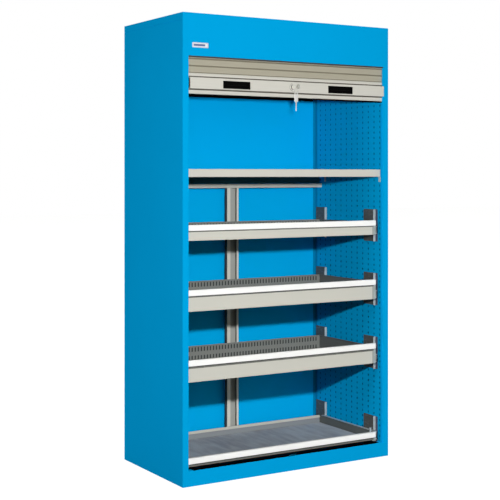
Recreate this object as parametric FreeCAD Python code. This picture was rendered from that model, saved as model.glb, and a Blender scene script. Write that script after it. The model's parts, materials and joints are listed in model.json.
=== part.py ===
import FreeCAD, Part
import math
import os

# Roll front tool cabinet. Millimetres. X runs to the right, Y from front to rear, Z up.
# The origin is at the middle of the casing's footprint, on the floor.

V = FreeCAD.Vector
X_AXIS = V(1, 0, 0)
Y_AXIS = V(0, 1, 0)
Z_AXIS = V(0, 0, 1)
ORIGIN = V(0, 0, 0)

# Casing
case_width = 1060.0
case_depth = 560.0
case_height = 1950.0
case_sheet = 1.5
frame_side = 27.0            # face of the front frame beside the opening
fascia_height = 177.0        # face of the front frame above the opening
sill_height = 64.0           # top of the sill above the floor
edge_return = 12.0           # depth of the folded edge at the sides and top of the opening
sill_return = 28.0           # depth of the folded edge of the sill
cover_lip = 29.0
cover_seam = 1.0             # open joint under the top cover's lip
joggle_height = 20.0         # tongue of the side panel behind the lip, each side of the seam
rear_recess = 10.0           # depth of the rear panel's pan
floor_height = 20.0
foot_width = 25.0            # flange that stands on the floor
stiffener_half = 30.0
stiffener_flange = 25.0

# Perforated inner walls
wall_setback = 24.0          # from the casing's side to the inner face
wall_sheet = 1.2
wall_front = 26.0            # from the front face
wall_below = 5.0             # top edge below the opening's top
hole_width = 8.0
hole_height = 10.0
column_pitch = 43.3
first_column = 6.0           # from the wall's front edge
column_margin = 30.0         # least sheet behind the last column
row_pitch = 24.4
first_row = 16.6             # from the floor pan
row_margin = 8.0             # sheet above the top row

# Rear rail, rear post, name plate and screws
rail_height = 19.0
rows_below_rail = 49         # the next row lies beside the rail
rail_drop = 12.2             # rail's underside below that row
rail_depth = 30.0
rail_front = 65.0            # from the casing's rear
post_width = 58.0
post_depth = 28.0
post_lip = 14.0
post_sheet = 2.0
plate_width = 75.0
plate_height = 21.0
plate_thickness = 1.0
plate_side = 44.0            # from the casing's left side
plate_drop = 122.0           # from the casing's top
screw_radius = 5.0
screw_height = 3.0
screw_rows = 6
screw_margin = 150.0

# Roller curtain
slat_pitch = 29.5
section_count = 8
head_cover = 25.0            # curtain above the opening's top, curtain down
slat_gap = 0.4
slat_thickness = 2.6
section_clear = 0.3          # between nested sections
slat_groove = 0.7
groove_half = 1.4
section_end = 0.6            # from a slat's end to the inner wall
bar_to_slat = 0.5

# Bottom bar
bar_height = 86.0
bar_reveal = 70.0            # bar's top below the opening's top, curtain up
bar_plate = 3.0
bar_wall = 2.0
band_height = 46.0
band_low = 21.0              # bar's lower lip and groove
band_proud = 4.0             # in front of the casing's face
band_end = 1.0               # from the band's end to the opening's edge
seal_height = 7.0
seal_thickness = 3.0
seal_rest = 1.0              # from the seal to the sill, curtain down
grip_inner = 201.0
grip_offset = -8.3           # middle of the two grips from the casing's middle
grip_width = 133.0
grip_height = 32.4
grip_drop = 2.6              # from the lock's axis down to the grips' middle
grip_depth = 12.0
grip_wall = 1.5
grip_rim = 3.0
grip_rim_thickness = 0.8
glide_length = 19.0
glide_height = 70.0

# Guide channels
channel_slot = 11.0
channel_lip = 20.5
channel_above = 17.0         # top end above the opening's top
glide_clear = 0.6
curtain_clear = 0.3

# Barrel
barrel_radius = 30.0
barrel_wall = 1.5
barrel_end = 9.0             # from the tube's end to the inner wall
barrel_drop = 100.0          # axis below the casing's top
barrel_clear = 6.0           # winding to the nested curtain
winding_gap = 0.3
winding_joint = 1.5          # open hinge between wound slats
winding_end = 6.0
shaft_radius = 8.0
shaft_fit = 0.05
plug_length = 20.0
plug_fit = 0.05
spring_radius = 13.0
spring_bore = 9.0
spring_length = 400.0
spring_collar = 10.0
spring_clear = 0.3           # from the spring to the plug
bracket_plate = 2.0
bracket_half = 30.0
bracket_above = 40.0
bracket_below = 50.0
bracket_out = 9.0            # from the inner wall's plane

# Lock
lock_x = 6.0
rosette_radius = 16.0
rosette_thickness = 2.5
nose_radius = 11.0
nose_length = 6.0
housing_radius = 10.0
housing_fit = 0.2
rotor_radius = 7.4
rotor_fit = 0.1
rotor_proud = 1.0
spigot_radius = 4.0
spigot_length = 5.0
cam_gap = 0.5
cam_thickness = 2.5
cam_half = 5.0
cam_tail = 10.0
cam_claw = 11.0
claw_width = 5.0
claw_clear = 1.5             # from the claw to the sill, locked
strike_side = 1.5            # strike slot beyond the cam's swing
strike_clear = 1.3
neck_radius = 3.0
neck_length = 24.0
bow_radius = 11.0
bow_sink = 1.0
key_thickness = 2.5
bow_hole = 2.5

# Key ring and spare key
ring_radius = 16.0
ring_wire = 0.9
ring_clear = 0.3
ring_place = 17.0            # along the key's neck
ring_turn = 25.0
spare_turn = -15.0
spare_thickness = 2.0
spare_half = 10.0
spare_bow = 44.0
spare_hole = 3.5
spare_clear = 0.8            # from the ring's wire to the top of the hole
spare_rim = 3.5
blade_half = 4.0
blade_length = 38.0

# Fixed shelf and its clips
shelf_sheet = 1.5
shelf_edge = 33.0
shelf_gap = 1.5
shelf_front = 26.0
shelf_back = 14.0            # to the rear rail
rows_below_shelf = 50        # the next row carries the shelf's clips
front_clip_column = 0
clip_rise = 16.4
clip_width = 14.0
clip_reach = 8.0
clip_sheet = 2.0
clip_depth = 8.0

# Drawers, from the top one down
drawer_rows = (39, 27, 15, 0)                 # row of the brackets' lower hooks
drawer_rises = (19.8, 18.6, 18.4, 30.4)       # underside above that row
drawer_fronts = (66.0, 90.0, 92.0, 41.0)      # height of the front
drawer_sides = (56.0, 80.0, 76.0, 39.0)       # height of the other walls
drawer_front = 36.0          # from the casing's face
drawer_back = 10.0           # to the rear rail and post
drawer_sheet = 1.2
handle_height = 25.0
handle_depth = 10.0
handle_sheet = 1.5
handle_lip = 4.0
handle_side = 6.0            # from the drawer's side
mat_thickness = 2.0
mat_gap = 2.0

# Drawer slides and their brackets
slide_width = 18.5
slide_sheet = 1.2
slide_half = 18.0
slide_fit = 0.4
slide_rise = 20.0            # centre above the drawer's underside
slide_inset = 11.0           # from the drawer's front
slide_back = 8.0             # from the drawer's rear
outer_reach = 14.5
middle_offset = 2.7
middle_reach = 12.8
inner_reach = 13.0
hanger_sheet = 1.5
hanger_margin = 12.8         # above the upper hooks' row and below the lower hooks' row
hanger_side = 14.0           # in front of the hooks' columns
hanger_back = 34.0           # behind the hooks' columns
hanger_flange = 13.5
front_hook_columns = (1, 2)
hook_rows = 5                # rows between the two hooks
hook_width = 5.0
hook_height = 7.0
hook_reach = 4.0
hook_tail = 4.0
hook_clear = 0.3             # from the tail to the wall
notch_clear = 1.5

# Worked out from the sizes above
half = case_width / 2
front = -case_depth / 2
rear = case_depth / 2
side_in = half - case_sheet
opening_half = half - frame_side
opening_top = case_height - fascia_height
wall_in = half - wall_setback
wall_y0 = front + wall_front
wall_y1 = rear - rear_recess
roof = case_height - case_sheet
return_out = opening_half + case_sheet
column_count = int((wall_y1 - wall_y0 - first_column - column_margin) / column_pitch) + 1
rear_hook_columns = (column_count - 2, column_count - 1)
clip_columns = (front_clip_column, column_count - 2)
hook_columns = sorted(set(clip_columns + front_hook_columns + rear_hook_columns))
wall_top = opening_top - wall_below
hole_rows = int((wall_top - floor_height - first_row - row_margin) / row_pitch) + 1
bar_top_open = opening_top - bar_reveal
bar_bottom = bar_top_open - bar_height
curtain_travel = bar_bottom - seal_height - seal_rest - sill_height
curtain_cover = curtain_travel + bar_reveal + head_cover
slats_per_section = math.ceil(curtain_cover / (section_count * slat_pitch))
section_height = slat_pitch * slats_per_section
section_half = wall_in - section_end
curtain_front = front + edge_return + curtain_clear
section_step = slat_thickness + section_clear    # also each section's lean
section_bottom = bar_top_open + bar_to_slat
stack_rear = curtain_front + slat_thickness + section_count * section_step
band_bottom = bar_bottom + band_low
band_half = opening_half - band_end
band_front = front - band_proud
bar_rear = curtain_front + bar_plate
lock_z = band_bottom + band_height / 2
grip_z = lock_z - grip_drop
sill_reach = lock_z - bar_bottom + seal_height + seal_rest    # lock's axis above the sill, locked
cam_length = sill_reach + case_sheet + claw_clear + claw_width
cam_sweep = math.hypot(cam_length, cam_half + cam_claw)
strike_swing = math.sqrt(cam_sweep ** 2 - sill_reach ** 2) + strike_side
winding_inner = barrel_radius + winding_gap
winding_half = (slat_pitch - winding_joint) / 2
winding_turn = 2 * math.atan(winding_half / winding_inner)
winding_slats = int(2 * math.pi / winding_turn)
barrel_sweep = math.hypot(winding_inner + slat_thickness, winding_half)
barrel_y = stack_rear + barrel_clear + barrel_sweep
barrel_z = case_height - barrel_drop
rail_y = rear - rail_front
tray_half = wall_in - hanger_sheet - slide_width
tray_y0 = front + drawer_front
tray_y1 = rail_y - drawer_back
slide_y0 = tray_y0 + slide_inset
slide_y1 = tray_y1 - slide_back


def box(x0, x1, y0, y1, z0, z1):
    low = V(min(x0, x1), min(y0, y1), min(z0, z1))
    return Part.makeBox(abs(x1 - x0), abs(y1 - y0), abs(z1 - z0), low)


def fuse(solids):
    joined = solids[0].fuse(solids[1:])
    return joined.removeSplitter()


def mirror(shape):
    return shape.mirror(ORIGIN, X_AXIS)


def rod(radius, x, y0, y1, z):
    return Part.makeCylinder(radius, y1 - y0, V(x, y0, z), Y_AXIS)


def axle(radius, x0, x1, y, z):
    return Part.makeCylinder(radius, x1 - x0, V(x0, y, z), X_AXIS)


def prism_x(outline, x0, x1):
    """Solid from an outline of (y, z) points, run along X."""
    points = [V(x0, y, z) for y, z in outline]
    face = Part.Face(Part.makePolygon(points + points[:1]))
    return face.extrude(V(x1 - x0, 0, 0))


def slab_y(outline, y0, y1):
    """Solid from an outline of (x, z) points, run along Y."""
    points = [V(x, y0, z) for x, z in outline]
    face = Part.Face(Part.makePolygon(points + points[:1]))
    return face.extrude(V(0, y1 - y0, 0))


def save(node, solids):
    shape = solids[0] if len(solids) == 1 else Part.makeCompound(solids)
    shape.exportStep("parts/%s.step" % node)


def row_z(row):
    return floor_height + first_row + row * row_pitch


def column_y(column):
    return wall_y0 + first_column + column * column_pitch


# Casing

def make_front_frame():
    fold = front + case_sheet
    edge = front + edge_return
    sill_edge = front + sill_return
    sheet = box(-half, half, front, fold, 0, case_height)
    sheet = sheet.cut(box(-opening_half, opening_half, front, fold, sill_height, opening_top))
    side = box(opening_half, return_out, fold, edge, sill_height, opening_top)
    head = box(-return_out, return_out, fold, edge, opening_top, opening_top + case_sheet)
    sill = box(-return_out, return_out, fold, sill_edge, sill_height - case_sheet, sill_height)
    frame = fuse([sheet, side, mirror(side), head, sill])
    claw_y = bar_rear + cam_gap
    slot = box(
        lock_x - cam_half - strike_side,
        lock_x + strike_swing,
        claw_y - strike_clear,
        claw_y + cam_thickness + strike_clear,
        sill_height - case_sheet,
        sill_height,
    )
    return frame.cut(slot)


def make_side_panel():
    seam = case_height - cover_lip
    sheet = box(side_in, half, front + case_sheet, rear, 0, seam - cover_seam)
    tongue = box(
        side_in - case_sheet, side_in, front + case_sheet, wall_y1,
        seam - joggle_height, seam + joggle_height,
    )
    return fuse([sheet, tongue])


def make_top_cover():
    fold = front + case_sheet
    sheet = box(-half, half, fold, rear, roof, case_height)
    lip = box(side_in, half, fold, rear, case_height - cover_lip, roof)
    return fuse([sheet, lip, mirror(lip)])


def make_rear_panel():
    pan = box(-side_in, side_in, wall_y1, rear, 0, roof)
    inside = box(
        -side_in + case_sheet, side_in - case_sheet, wall_y1 + case_sheet, rear,
        case_sheet, roof - case_sheet,
    )
    return pan.cut(inside)


def make_base_pan():
    fold = front + case_sheet
    under = floor_height - case_sheet
    shell = box(-side_in, side_in, fold, wall_y1, 0, floor_height)
    hollow = box(
        -side_in + case_sheet, side_in - case_sheet, fold + case_sheet, wall_y1 - case_sheet,
        case_sheet, under,
    )
    mouth = box(
        -side_in + foot_width, side_in - foot_width, fold + foot_width, wall_y1 - foot_width,
        0, case_sheet,
    )
    inner = side_in - case_sheet
    bridge_foot = box(-inner, inner, -stiffener_half, stiffener_half, 0, case_sheet)
    bridge_web = box(
        -inner, inner, stiffener_half - case_sheet, stiffener_half, case_sheet, under,
    )
    bridge_flange = box(
        -inner, inner, stiffener_half, stiffener_half + stiffener_flange,
        under - case_sheet, under,
    )
    other_web = bridge_web.mirror(ORIGIN, Y_AXIS)
    other_flange = bridge_flange.mirror(ORIGIN, Y_AXIS)
    pan = shell.cut(hollow).cut(mouth)
    return fuse([pan, bridge_foot, bridge_web, other_web, bridge_flange, other_flange])


def make_perforated_wall():
    low = floor_height
    corners = [(wall_y0, low), (wall_y1, low), (wall_y1, wall_top), (wall_y0, wall_top)]
    points = [V(wall_in, y, z) for y, z in corners]
    face = Part.Face(Part.makePolygon(points + points[:1]))
    holes = []
    for column in hook_columns:
        y0 = column_y(column) - hole_width / 2
        y1 = y0 + hole_width
        for row in range(hole_rows):
            z0 = row_z(row) - hole_height / 2
            z1 = z0 + hole_height
            ring = [V(wall_in, y0, z0), V(wall_in, y1, z0), V(wall_in, y1, z1), V(wall_in, y0, z1)]
            hole = Part.makePolygon(ring + ring[:1])
            hole.reverse()
            holes.append(hole)
    face.cutHoles(holes)
    sheet = face.extrude(V(wall_sheet, 0, 0))
    outer = wall_in + wall_sheet
    front_flange = box(outer, side_in, wall_y0, wall_y0 + wall_sheet, low, wall_top)
    rear_flange = box(outer, side_in, wall_y1 - wall_sheet, wall_y1, low, wall_top)
    return sheet.fuse([front_flange, rear_flange])


def rail_bottom():
    return row_z(rows_below_rail) - rail_drop


def make_rear_cross_rail():
    z0 = rail_bottom()
    z1 = z0 + rail_height
    outer = box(-wall_in, wall_in, rail_y, rail_y + rail_depth, z0, z1)
    inner = box(
        -wall_in, wall_in, rail_y + case_sheet, rail_y + rail_depth,
        z0 + case_sheet, z1 - case_sheet,
    )
    return outer.cut(inner)


def make_rear_post():
    reach = post_width / 2
    lip = reach - post_lip
    wall = reach - post_sheet
    y0 = rail_y + post_sheet
    y1 = rail_y + post_depth
    top = rail_bottom()
    outer = box(-reach, reach, rail_y, y1, floor_height, top)
    inner = box(-wall, wall, y0, y1 - post_sheet, floor_height, top)
    slot = box(-lip, lip, rail_y, y0, floor_height, top)
    return outer.cut(inner).cut(slot)


def make_name_plate():
    x0 = -half + plate_side
    z1 = case_height - plate_drop
    return box(x0, x0 + plate_width, front - plate_thickness, front, z1 - plate_height, z1)


def make_casing_screws():
    screws = []
    x = (wall_in + side_in) / 2
    y0 = wall_y1 + case_sheet
    step = (wall_top - floor_height - 2 * screw_margin) / (screw_rows - 1)
    for row in range(screw_rows):
        z = floor_height + screw_margin + row * step
        head = rod(screw_radius, x, y0, y0 + screw_height, z)
        screws.append(head)
        screws.append(mirror(head))
    return screws


# Roller curtain and its guides

def make_guide_channel():
    y0 = front + edge_return - case_sheet
    y1 = y0 + case_sheet + channel_slot
    top = opening_top + channel_above
    web = box(side_in - case_sheet, side_in, y0, y1 + case_sheet, floor_height, top)
    front_lip = box(return_out, side_in - case_sheet, y0, y0 + case_sheet, floor_height, top)
    rear_lip = box(side_in - channel_lip, side_in - case_sheet, y1, y1 + case_sheet,
                   floor_height, top)
    return fuse([web, front_lip, rear_lip])


def slat_outline(base_y, z0, z1):
    """Slat between z0 and z1 of a section that leans forwards from base_y at its foot."""
    middle = (z0 + z1) / 2
    levels = [
        (z0, slat_groove),
        (z0 + groove_half, 0.0),
        (middle - groove_half, 0.0),
        (middle, slat_groove),
        (middle + groove_half, 0.0),
        (z1 - groove_half, 0.0),
        (z1, slat_groove),
    ]

    def face_y(z):
        return base_y - section_step * (z - section_bottom) / section_height

    faces = [(face_y(z) + depth, z) for z, depth in levels]
    return faces + [(face_y(z1) + slat_thickness, z1), (face_y(z0) + slat_thickness, z0)]


def make_curtain_section(number):
    base_y = curtain_front + number * section_step
    slats = []
    for slat in range(slats_per_section):
        z0 = section_bottom + slat * slat_pitch + slat_gap / 2
        z1 = section_bottom + (slat + 1) * slat_pitch - slat_gap / 2
        slats.append(prism_x(slat_outline(base_y, z0, z1), -section_half, section_half))
    return slats


def make_bottom_bar():
    plate_half = return_out + bar_to_slat
    plate = box(-plate_half, plate_half, curtain_front, bar_rear, bar_bottom, bar_top_open)
    band_top = band_bottom + band_height
    band = box(-band_half, band_half, band_front, curtain_front, band_bottom, band_top)
    hollow = box(
        -band_half, band_half, band_front + bar_wall, curtain_front,
        band_bottom + bar_wall, band_top - bar_wall,
    )
    bar = fuse([plate, band.cut(hollow)])
    lock_hole = rod(housing_radius + housing_fit, lock_x, band_front, bar_rear, lock_z)
    grip_hole = box(
        grip_inner, grip_inner + grip_width, band_front, band_front + bar_wall,
        grip_z - grip_height / 2, grip_z + grip_height / 2,
    )
    return bar.cut([lock_hole] + grip_pair(grip_hole))


def make_bottom_seal():
    plate_half = return_out + bar_to_slat
    return box(
        -plate_half, plate_half, curtain_front, curtain_front + seal_thickness,
        bar_bottom - seal_height, bar_bottom,
    )


def grip_pair(right):
    pair = both_sides(right)
    for grip in pair:
        grip.translate(V(grip_offset, 0, 0))
    return pair


def make_grip_cup():
    x0 = grip_inner
    x1 = grip_inner + grip_width
    z0 = grip_z - grip_height / 2
    z1 = grip_z + grip_height / 2
    y1 = band_front + grip_depth
    cup = box(x0, x1, band_front, y1, z0, z1)
    rim = box(
        x0 - grip_rim, x1 + grip_rim, band_front - grip_rim_thickness, band_front,
        z0 - grip_rim, z1 + grip_rim,
    )
    hollow = box(
        x0 + grip_wall, x1 - grip_wall, band_front - grip_rim_thickness, y1 - grip_wall,
        z0 + grip_wall, z1 - grip_wall,
    )
    return fuse([cup, rim]).cut(hollow)


def make_bar_glides():
    x0 = return_out + bar_to_slat
    y0 = front + edge_return + glide_clear
    y1 = front + edge_return + channel_slot - glide_clear
    z0 = bar_bottom + (bar_height - glide_height) / 2
    glide = box(x0, x0 + glide_length, y0, y1, z0, z0 + glide_height)
    return [glide, mirror(glide)]


# Barrel

def make_barrel_bracket():
    x0 = wall_in + bracket_out
    y0 = barrel_y - bracket_half
    y1 = barrel_y + bracket_half
    z0 = barrel_z - bracket_below
    z1 = barrel_z + bracket_above
    plate = box(x0, x0 + bracket_plate, y0, y1, z0, z1)
    web = box(x0, side_in, y0, y1, z1, z1 + bracket_plate)
    flange = box(side_in - bracket_plate, side_in, y0, y1, z0, z1)
    hole = axle(shaft_radius + shaft_fit, x0, x0 + bracket_plate, barrel_y, barrel_z)
    return fuse([plate, web, flange]).cut(hole)


def make_barrel_shaft():
    reach = wall_in + bracket_out + 2 * bracket_plate
    return axle(shaft_radius, -reach, reach, barrel_y, barrel_z)


def make_barrel_spring():
    x0 = -wall_in + barrel_end + plug_length + spring_clear
    coil = axle(spring_radius, x0, x0 + spring_length, barrel_y, barrel_z)
    bore = axle(spring_bore, x0, x0 + spring_length - spring_collar, barrel_y, barrel_z)
    seat = axle(shaft_radius + shaft_fit, x0, x0 + spring_length, barrel_y, barrel_z)
    return coil.cut(bore).cut(seat)


def make_barrel_tube():
    reach = wall_in - barrel_end
    outer = axle(barrel_radius, -reach, reach, barrel_y, barrel_z)
    return outer.cut(axle(barrel_radius - barrel_wall, -reach, reach, barrel_y, barrel_z))


def make_barrel_plugs():
    x1 = wall_in - barrel_end
    x0 = x1 - plug_length
    disc = axle(barrel_radius - barrel_wall - plug_fit, x0, x1, barrel_y, barrel_z)
    plug = disc.cut(axle(shaft_radius + shaft_fit, x0, x1, barrel_y, barrel_z))
    return [plug, mirror(plug)]


def make_barrel_winding():
    """Safety turn of slats that stays on the tube."""
    reach = wall_in - barrel_end - winding_end
    axis = V(0, barrel_y, barrel_z)
    z0 = barrel_z + winding_inner
    slats = []
    for number in range(winding_slats):
        slat = box(
            -reach, reach, barrel_y - winding_half, barrel_y + winding_half,
            z0, z0 + slat_thickness,
        )
        slat.rotate(axis, X_AXIS, number * math.degrees(2 * math.pi) / winding_slats)
        slats.append(slat)
    return slats


# Lock, key and key ring

def make_lock_housing():
    flange = rod(rosette_radius, lock_x, band_front - rosette_thickness, band_front, lock_z)
    nose = rod(nose_radius, lock_x, nose_front(), band_front - rosette_thickness, lock_z)
    barrel = rod(housing_radius, lock_x, band_front, bar_rear, lock_z)
    bore = rod(rotor_radius + rotor_fit, lock_x, nose_front(), bar_rear, lock_z)
    return fuse([flange, nose, barrel]).cut(bore)


def nose_front():
    return band_front - rosette_thickness - nose_length


def rotor_front():
    return nose_front() - rotor_proud


def make_lock_rotor():
    body = rod(rotor_radius, lock_x, rotor_front(), bar_rear + cam_gap, lock_z)
    spigot_y = bar_rear + cam_gap
    spigot = rod(spigot_radius, lock_x, spigot_y, spigot_y + spigot_length, lock_z)
    return fuse([body, spigot])


def make_lock_cam():
    """Arm that points right when unlocked and swings down, claw first, when locked."""
    y0 = bar_rear + cam_gap
    x1 = lock_x + cam_length
    outline = [
        (lock_x - cam_tail, lock_z + cam_half),
        (lock_x - cam_tail, lock_z - cam_half),
        (x1 - claw_width, lock_z - cam_half),
        (x1 - claw_width, lock_z - cam_half - cam_claw),
        (x1, lock_z - cam_half - cam_claw),
        (x1, lock_z + cam_half),
    ]
    arm = slab_y(outline, y0, y0 + cam_thickness)
    return arm.cut(rod(spigot_radius, lock_x, y0, y0 + cam_thickness, lock_z))


def make_lock_key():
    y1 = rotor_front()
    y0 = y1 - neck_length
    neck = rod(neck_radius, lock_x, y0, y1, lock_z)
    centre = y0 - bow_radius + bow_sink
    x0 = lock_x - key_thickness / 2
    bow = axle(bow_radius, x0, x0 + key_thickness, centre, lock_z)
    hole = axle(bow_hole, x0, x0 + key_thickness, centre, lock_z)
    return fuse([neck, bow]).cut(hole)


def ring_centre():
    rise = neck_radius + ring_clear + ring_wire - ring_radius
    return V(lock_x, rotor_front() - ring_place, lock_z + rise)


def make_key_ring():
    centre = ring_centre()
    ring = Part.makeTorus(ring_radius, ring_wire, centre, Y_AXIS)
    ring.rotate(centre, Z_AXIS, ring_turn)
    return ring


def make_spare_key():
    centre = ring_centre()
    hole_z = centre.z - ring_radius + ring_wire + spare_clear - spare_hole
    top = hole_z + spare_hole + spare_rim
    low = top - spare_bow
    y0 = centre.y - spare_thickness / 2
    y1 = centre.y + spare_thickness / 2
    upper = rod(spare_half, lock_x, y0, y1, top - spare_half)
    lower = rod(spare_half, lock_x, y0, y1, low + spare_half)
    body = box(lock_x - spare_half, lock_x + spare_half, y0, y1, low + spare_half, top - spare_half)
    blade = box(lock_x - blade_half, lock_x + blade_half, y0, y1, low - blade_length,
                low + spare_half)
    key = fuse([upper, lower, body, blade]).cut(rod(spare_hole, lock_x, y0, y1, hole_z))
    key.rotate(centre, Z_AXIS, spare_turn)
    return key


# Fixed shelf

def shelf_bottom():
    return row_z(rows_below_shelf) + clip_rise


def make_fixed_shelf():
    reach = wall_in - shelf_gap
    y0 = front + shelf_front
    y1 = rail_y - shelf_back
    z0 = shelf_bottom()
    outer = box(-reach, reach, y0, y1, z0, z0 + shelf_edge)
    inner = box(
        -reach + shelf_sheet, reach - shelf_sheet, y0 + shelf_sheet, y1 - shelf_sheet,
        z0, z0 + shelf_edge - shelf_sheet,
    )
    return outer.cut(inner)


def make_shelf_clips():
    clips = []
    z1 = shelf_bottom()
    row = row_z(rows_below_shelf)
    for column in clip_columns:
        y = column_y(column)
        y0 = y - clip_width / 2
        y1 = y + clip_width / 2
        ledge = box(wall_in - clip_reach, wall_in, y0, y1, z1 - clip_sheet, z1)
        leg = box(wall_in - clip_sheet, wall_in, y0, y1, row - clip_depth, z1 - clip_sheet)
        clip = fuse([ledge, leg] + hook(wall_in, y, row))
        clips.append(clip)
        clips.append(mirror(clip))
    return clips


def hook(x0, y, z):
    """Hook through a hole of the right wall, standing on the hole's lower edge."""
    x1 = x0 + wall_sheet + hook_reach
    y0 = y - hook_width / 2
    y1 = y + hook_width / 2
    bottom = z - hole_height / 2
    tongue = box(x0, x1, y0, y1, bottom, bottom + hook_height)
    tail = box(x0 + wall_sheet + hook_clear, x1, y0, y1, bottom - hook_tail, bottom)
    return [tongue, tail]


# Drawers and their slides

def drawer_z(drawer):
    return row_z(drawer_rows[drawer]) + drawer_rises[drawer]


def make_drawer_tray(drawer):
    z0 = drawer_z(drawer)
    front_top = z0 + drawer_fronts[drawer]
    side_top = z0 + drawer_sides[drawer]
    inside_y0 = tray_y0 + drawer_sheet
    face = box(-tray_half, tray_half, tray_y0, inside_y0, z0, front_top)
    body = box(-tray_half, tray_half, inside_y0, tray_y1, z0, side_top)
    inside = box(
        -tray_half + drawer_sheet, tray_half - drawer_sheet,
        inside_y0, tray_y1 - drawer_sheet, z0 + drawer_sheet, side_top,
    )
    return fuse([face, body.cut(inside)])


def make_drawer_handle(drawer):
    reach = tray_half - handle_side
    top = drawer_z(drawer) + drawer_fronts[drawer]
    low = top - handle_height
    y0 = tray_y0 - handle_depth
    cap = box(-reach, reach, y0, tray_y0, top - handle_sheet, top)
    face = box(-reach, reach, y0, y0 + handle_sheet, low, top)
    lip = box(-reach, reach, y0, y0 + handle_lip, low, low + handle_sheet)
    return fuse([cap, face, lip])


def slide_z(drawer):
    return drawer_z(drawer) + slide_rise


def make_channel(x_web, x_lip, half_height, z, wall_side):
    """Slide member: a channel along Y with its web on the wall's side or the drawer's side."""
    outer = box(x_lip, x_web, slide_y0, slide_y1, z - half_height, z + half_height)
    if wall_side:
        x0 = x_lip
        x1 = x_web - slide_sheet
    else:
        x0 = x_web + slide_sheet
        x1 = x_lip
    inner = box(
        x0, x1, slide_y0, slide_y1, z - half_height + slide_sheet, z + half_height - slide_sheet,
    )
    return outer.cut(inner)


def make_outer_member(drawer):
    web = wall_in - hanger_sheet
    return make_channel(web, web - outer_reach, slide_half, slide_z(drawer), True)


def make_middle_member(drawer):
    web = wall_in - hanger_sheet - middle_offset
    height = slide_half - slide_sheet - slide_fit
    return make_channel(web, web - middle_reach, height, slide_z(drawer), True)


def make_inner_member(drawer):
    height = slide_half - 2 * (slide_sheet + slide_fit)
    return make_channel(tray_half, tray_half + inner_reach, height, slide_z(drawer), False)


def make_hanger(drawer, columns):
    row = drawer_rows[drawer]
    low = row_z(row) - hanger_margin
    top = row_z(row + hook_rows) + hanger_margin
    y0 = column_y(columns[0]) - hanger_side
    y1 = column_y(columns[-1]) + hanger_back
    x0 = wall_in - hanger_sheet
    pieces = [box(x0, wall_in, y0, y1, low, top)]
    for column in columns:
        for z in (row_z(row), row_z(row + hook_rows)):
            pieces += hook(wall_in, column_y(column), z)
    edge = box(wall_in - hanger_flange, x0, y0, y0 + hanger_sheet, low, top)
    notch = box(
        wall_in - hanger_flange, x0, y0, y0 + hanger_sheet,
        slide_z(drawer) - slide_half - notch_clear, slide_z(drawer) + slide_half + notch_clear,
    )
    return fuse(pieces + edge.cut(notch).Solids)


def make_slide_brackets():
    brackets = []
    for drawer in range(len(drawer_rows)):
        near = make_hanger(drawer, front_hook_columns)
        far = make_hanger(drawer, rear_hook_columns)
        brackets += [near, mirror(near), far, mirror(far)]
    return brackets


def make_bottom_mat():
    z0 = drawer_z(len(drawer_rows) - 1) + drawer_sheet
    reach = tray_half - drawer_sheet - mat_gap
    y0 = tray_y0 + drawer_sheet + mat_gap
    y1 = tray_y1 - drawer_sheet - mat_gap
    return box(-reach, reach, y0, y1, z0, z0 + mat_thickness)


def both_sides(right):
    return [right, mirror(right)]


def save_casing():
    side = make_side_panel()
    wall = make_perforated_wall()
    save("front_frame", [make_front_frame()])
    save("side_panel_right", [side])
    save("side_panel_left", [mirror(side)])
    save("rear_panel", [make_rear_panel()])
    save("top_cover", [make_top_cover()])
    save("base_pan", [make_base_pan()])
    save("perforated_wall_right", [wall])
    save("perforated_wall_left", [mirror(wall)])
    save("rear_cross_rail", [make_rear_cross_rail()])
    save("rear_post", [make_rear_post()])
    save("blank_name_plate", [make_name_plate()])
    save("casing_screws", make_casing_screws())


def save_shutter():
    channel = make_guide_channel()
    save("guide_channel_right", [channel])
    save("guide_channel_left", [mirror(channel)])
    for number in range(1, section_count + 1):
        save("curtain_section_%d" % number, make_curtain_section(number))
    save("bottom_bar", [make_bottom_bar()])
    save("bottom_seal", [make_bottom_seal()])
    save("grip_cups", grip_pair(make_grip_cup()))
    save("bar_glides", make_bar_glides())


def save_barrel():
    save("barrel_brackets", both_sides(make_barrel_bracket()))
    save("barrel_shaft", [make_barrel_shaft()])
    save("barrel_spring", [make_barrel_spring()])
    save("barrel_tube", [make_barrel_tube()])
    save("barrel_plugs", make_barrel_plugs())
    save("barrel_winding", make_barrel_winding())


def save_lock():
    save("lock_housing", [make_lock_housing()])
    save("lock_rotor", [make_lock_rotor()])
    save("lock_cam", [make_lock_cam()])
    save("lock_key", [make_lock_key()])
    save("key_ring", [make_key_ring()])
    save("spare_key", [make_spare_key()])


def save_storage():
    save("fixed_shelf", [make_fixed_shelf()])
    save("shelf_clips", make_shelf_clips())
    save("slide_brackets", make_slide_brackets())
    drawers = range(len(drawer_rows))
    outer_members = []
    for drawer in drawers:
        outer_members += both_sides(make_outer_member(drawer))
    save("cabinet_slides", outer_members)
    for drawer in drawers:
        name = "drawer_%d" % (drawer + 1)
        save(name + "_tray", [make_drawer_tray(drawer)])
        save(name + "_handle", [make_drawer_handle(drawer)])
        save(name + "_inner_slides", both_sides(make_inner_member(drawer)))
        save(name + "_middle_slides", both_sides(make_middle_member(drawer)))
    save("bottom_drawer_mat", [make_bottom_mat()])


os.makedirs("parts", exist_ok=True)
save_casing()
save_shutter()
save_barrel()
save_lock()
save_storage()
print("curtain travel", curtain_travel, "section height", section_height)
print("barrel axis", barrel_y, barrel_z, "wound slats", winding_slats)
print("cam length", cam_length, "lock axis", lock_x, lock_z)
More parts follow.
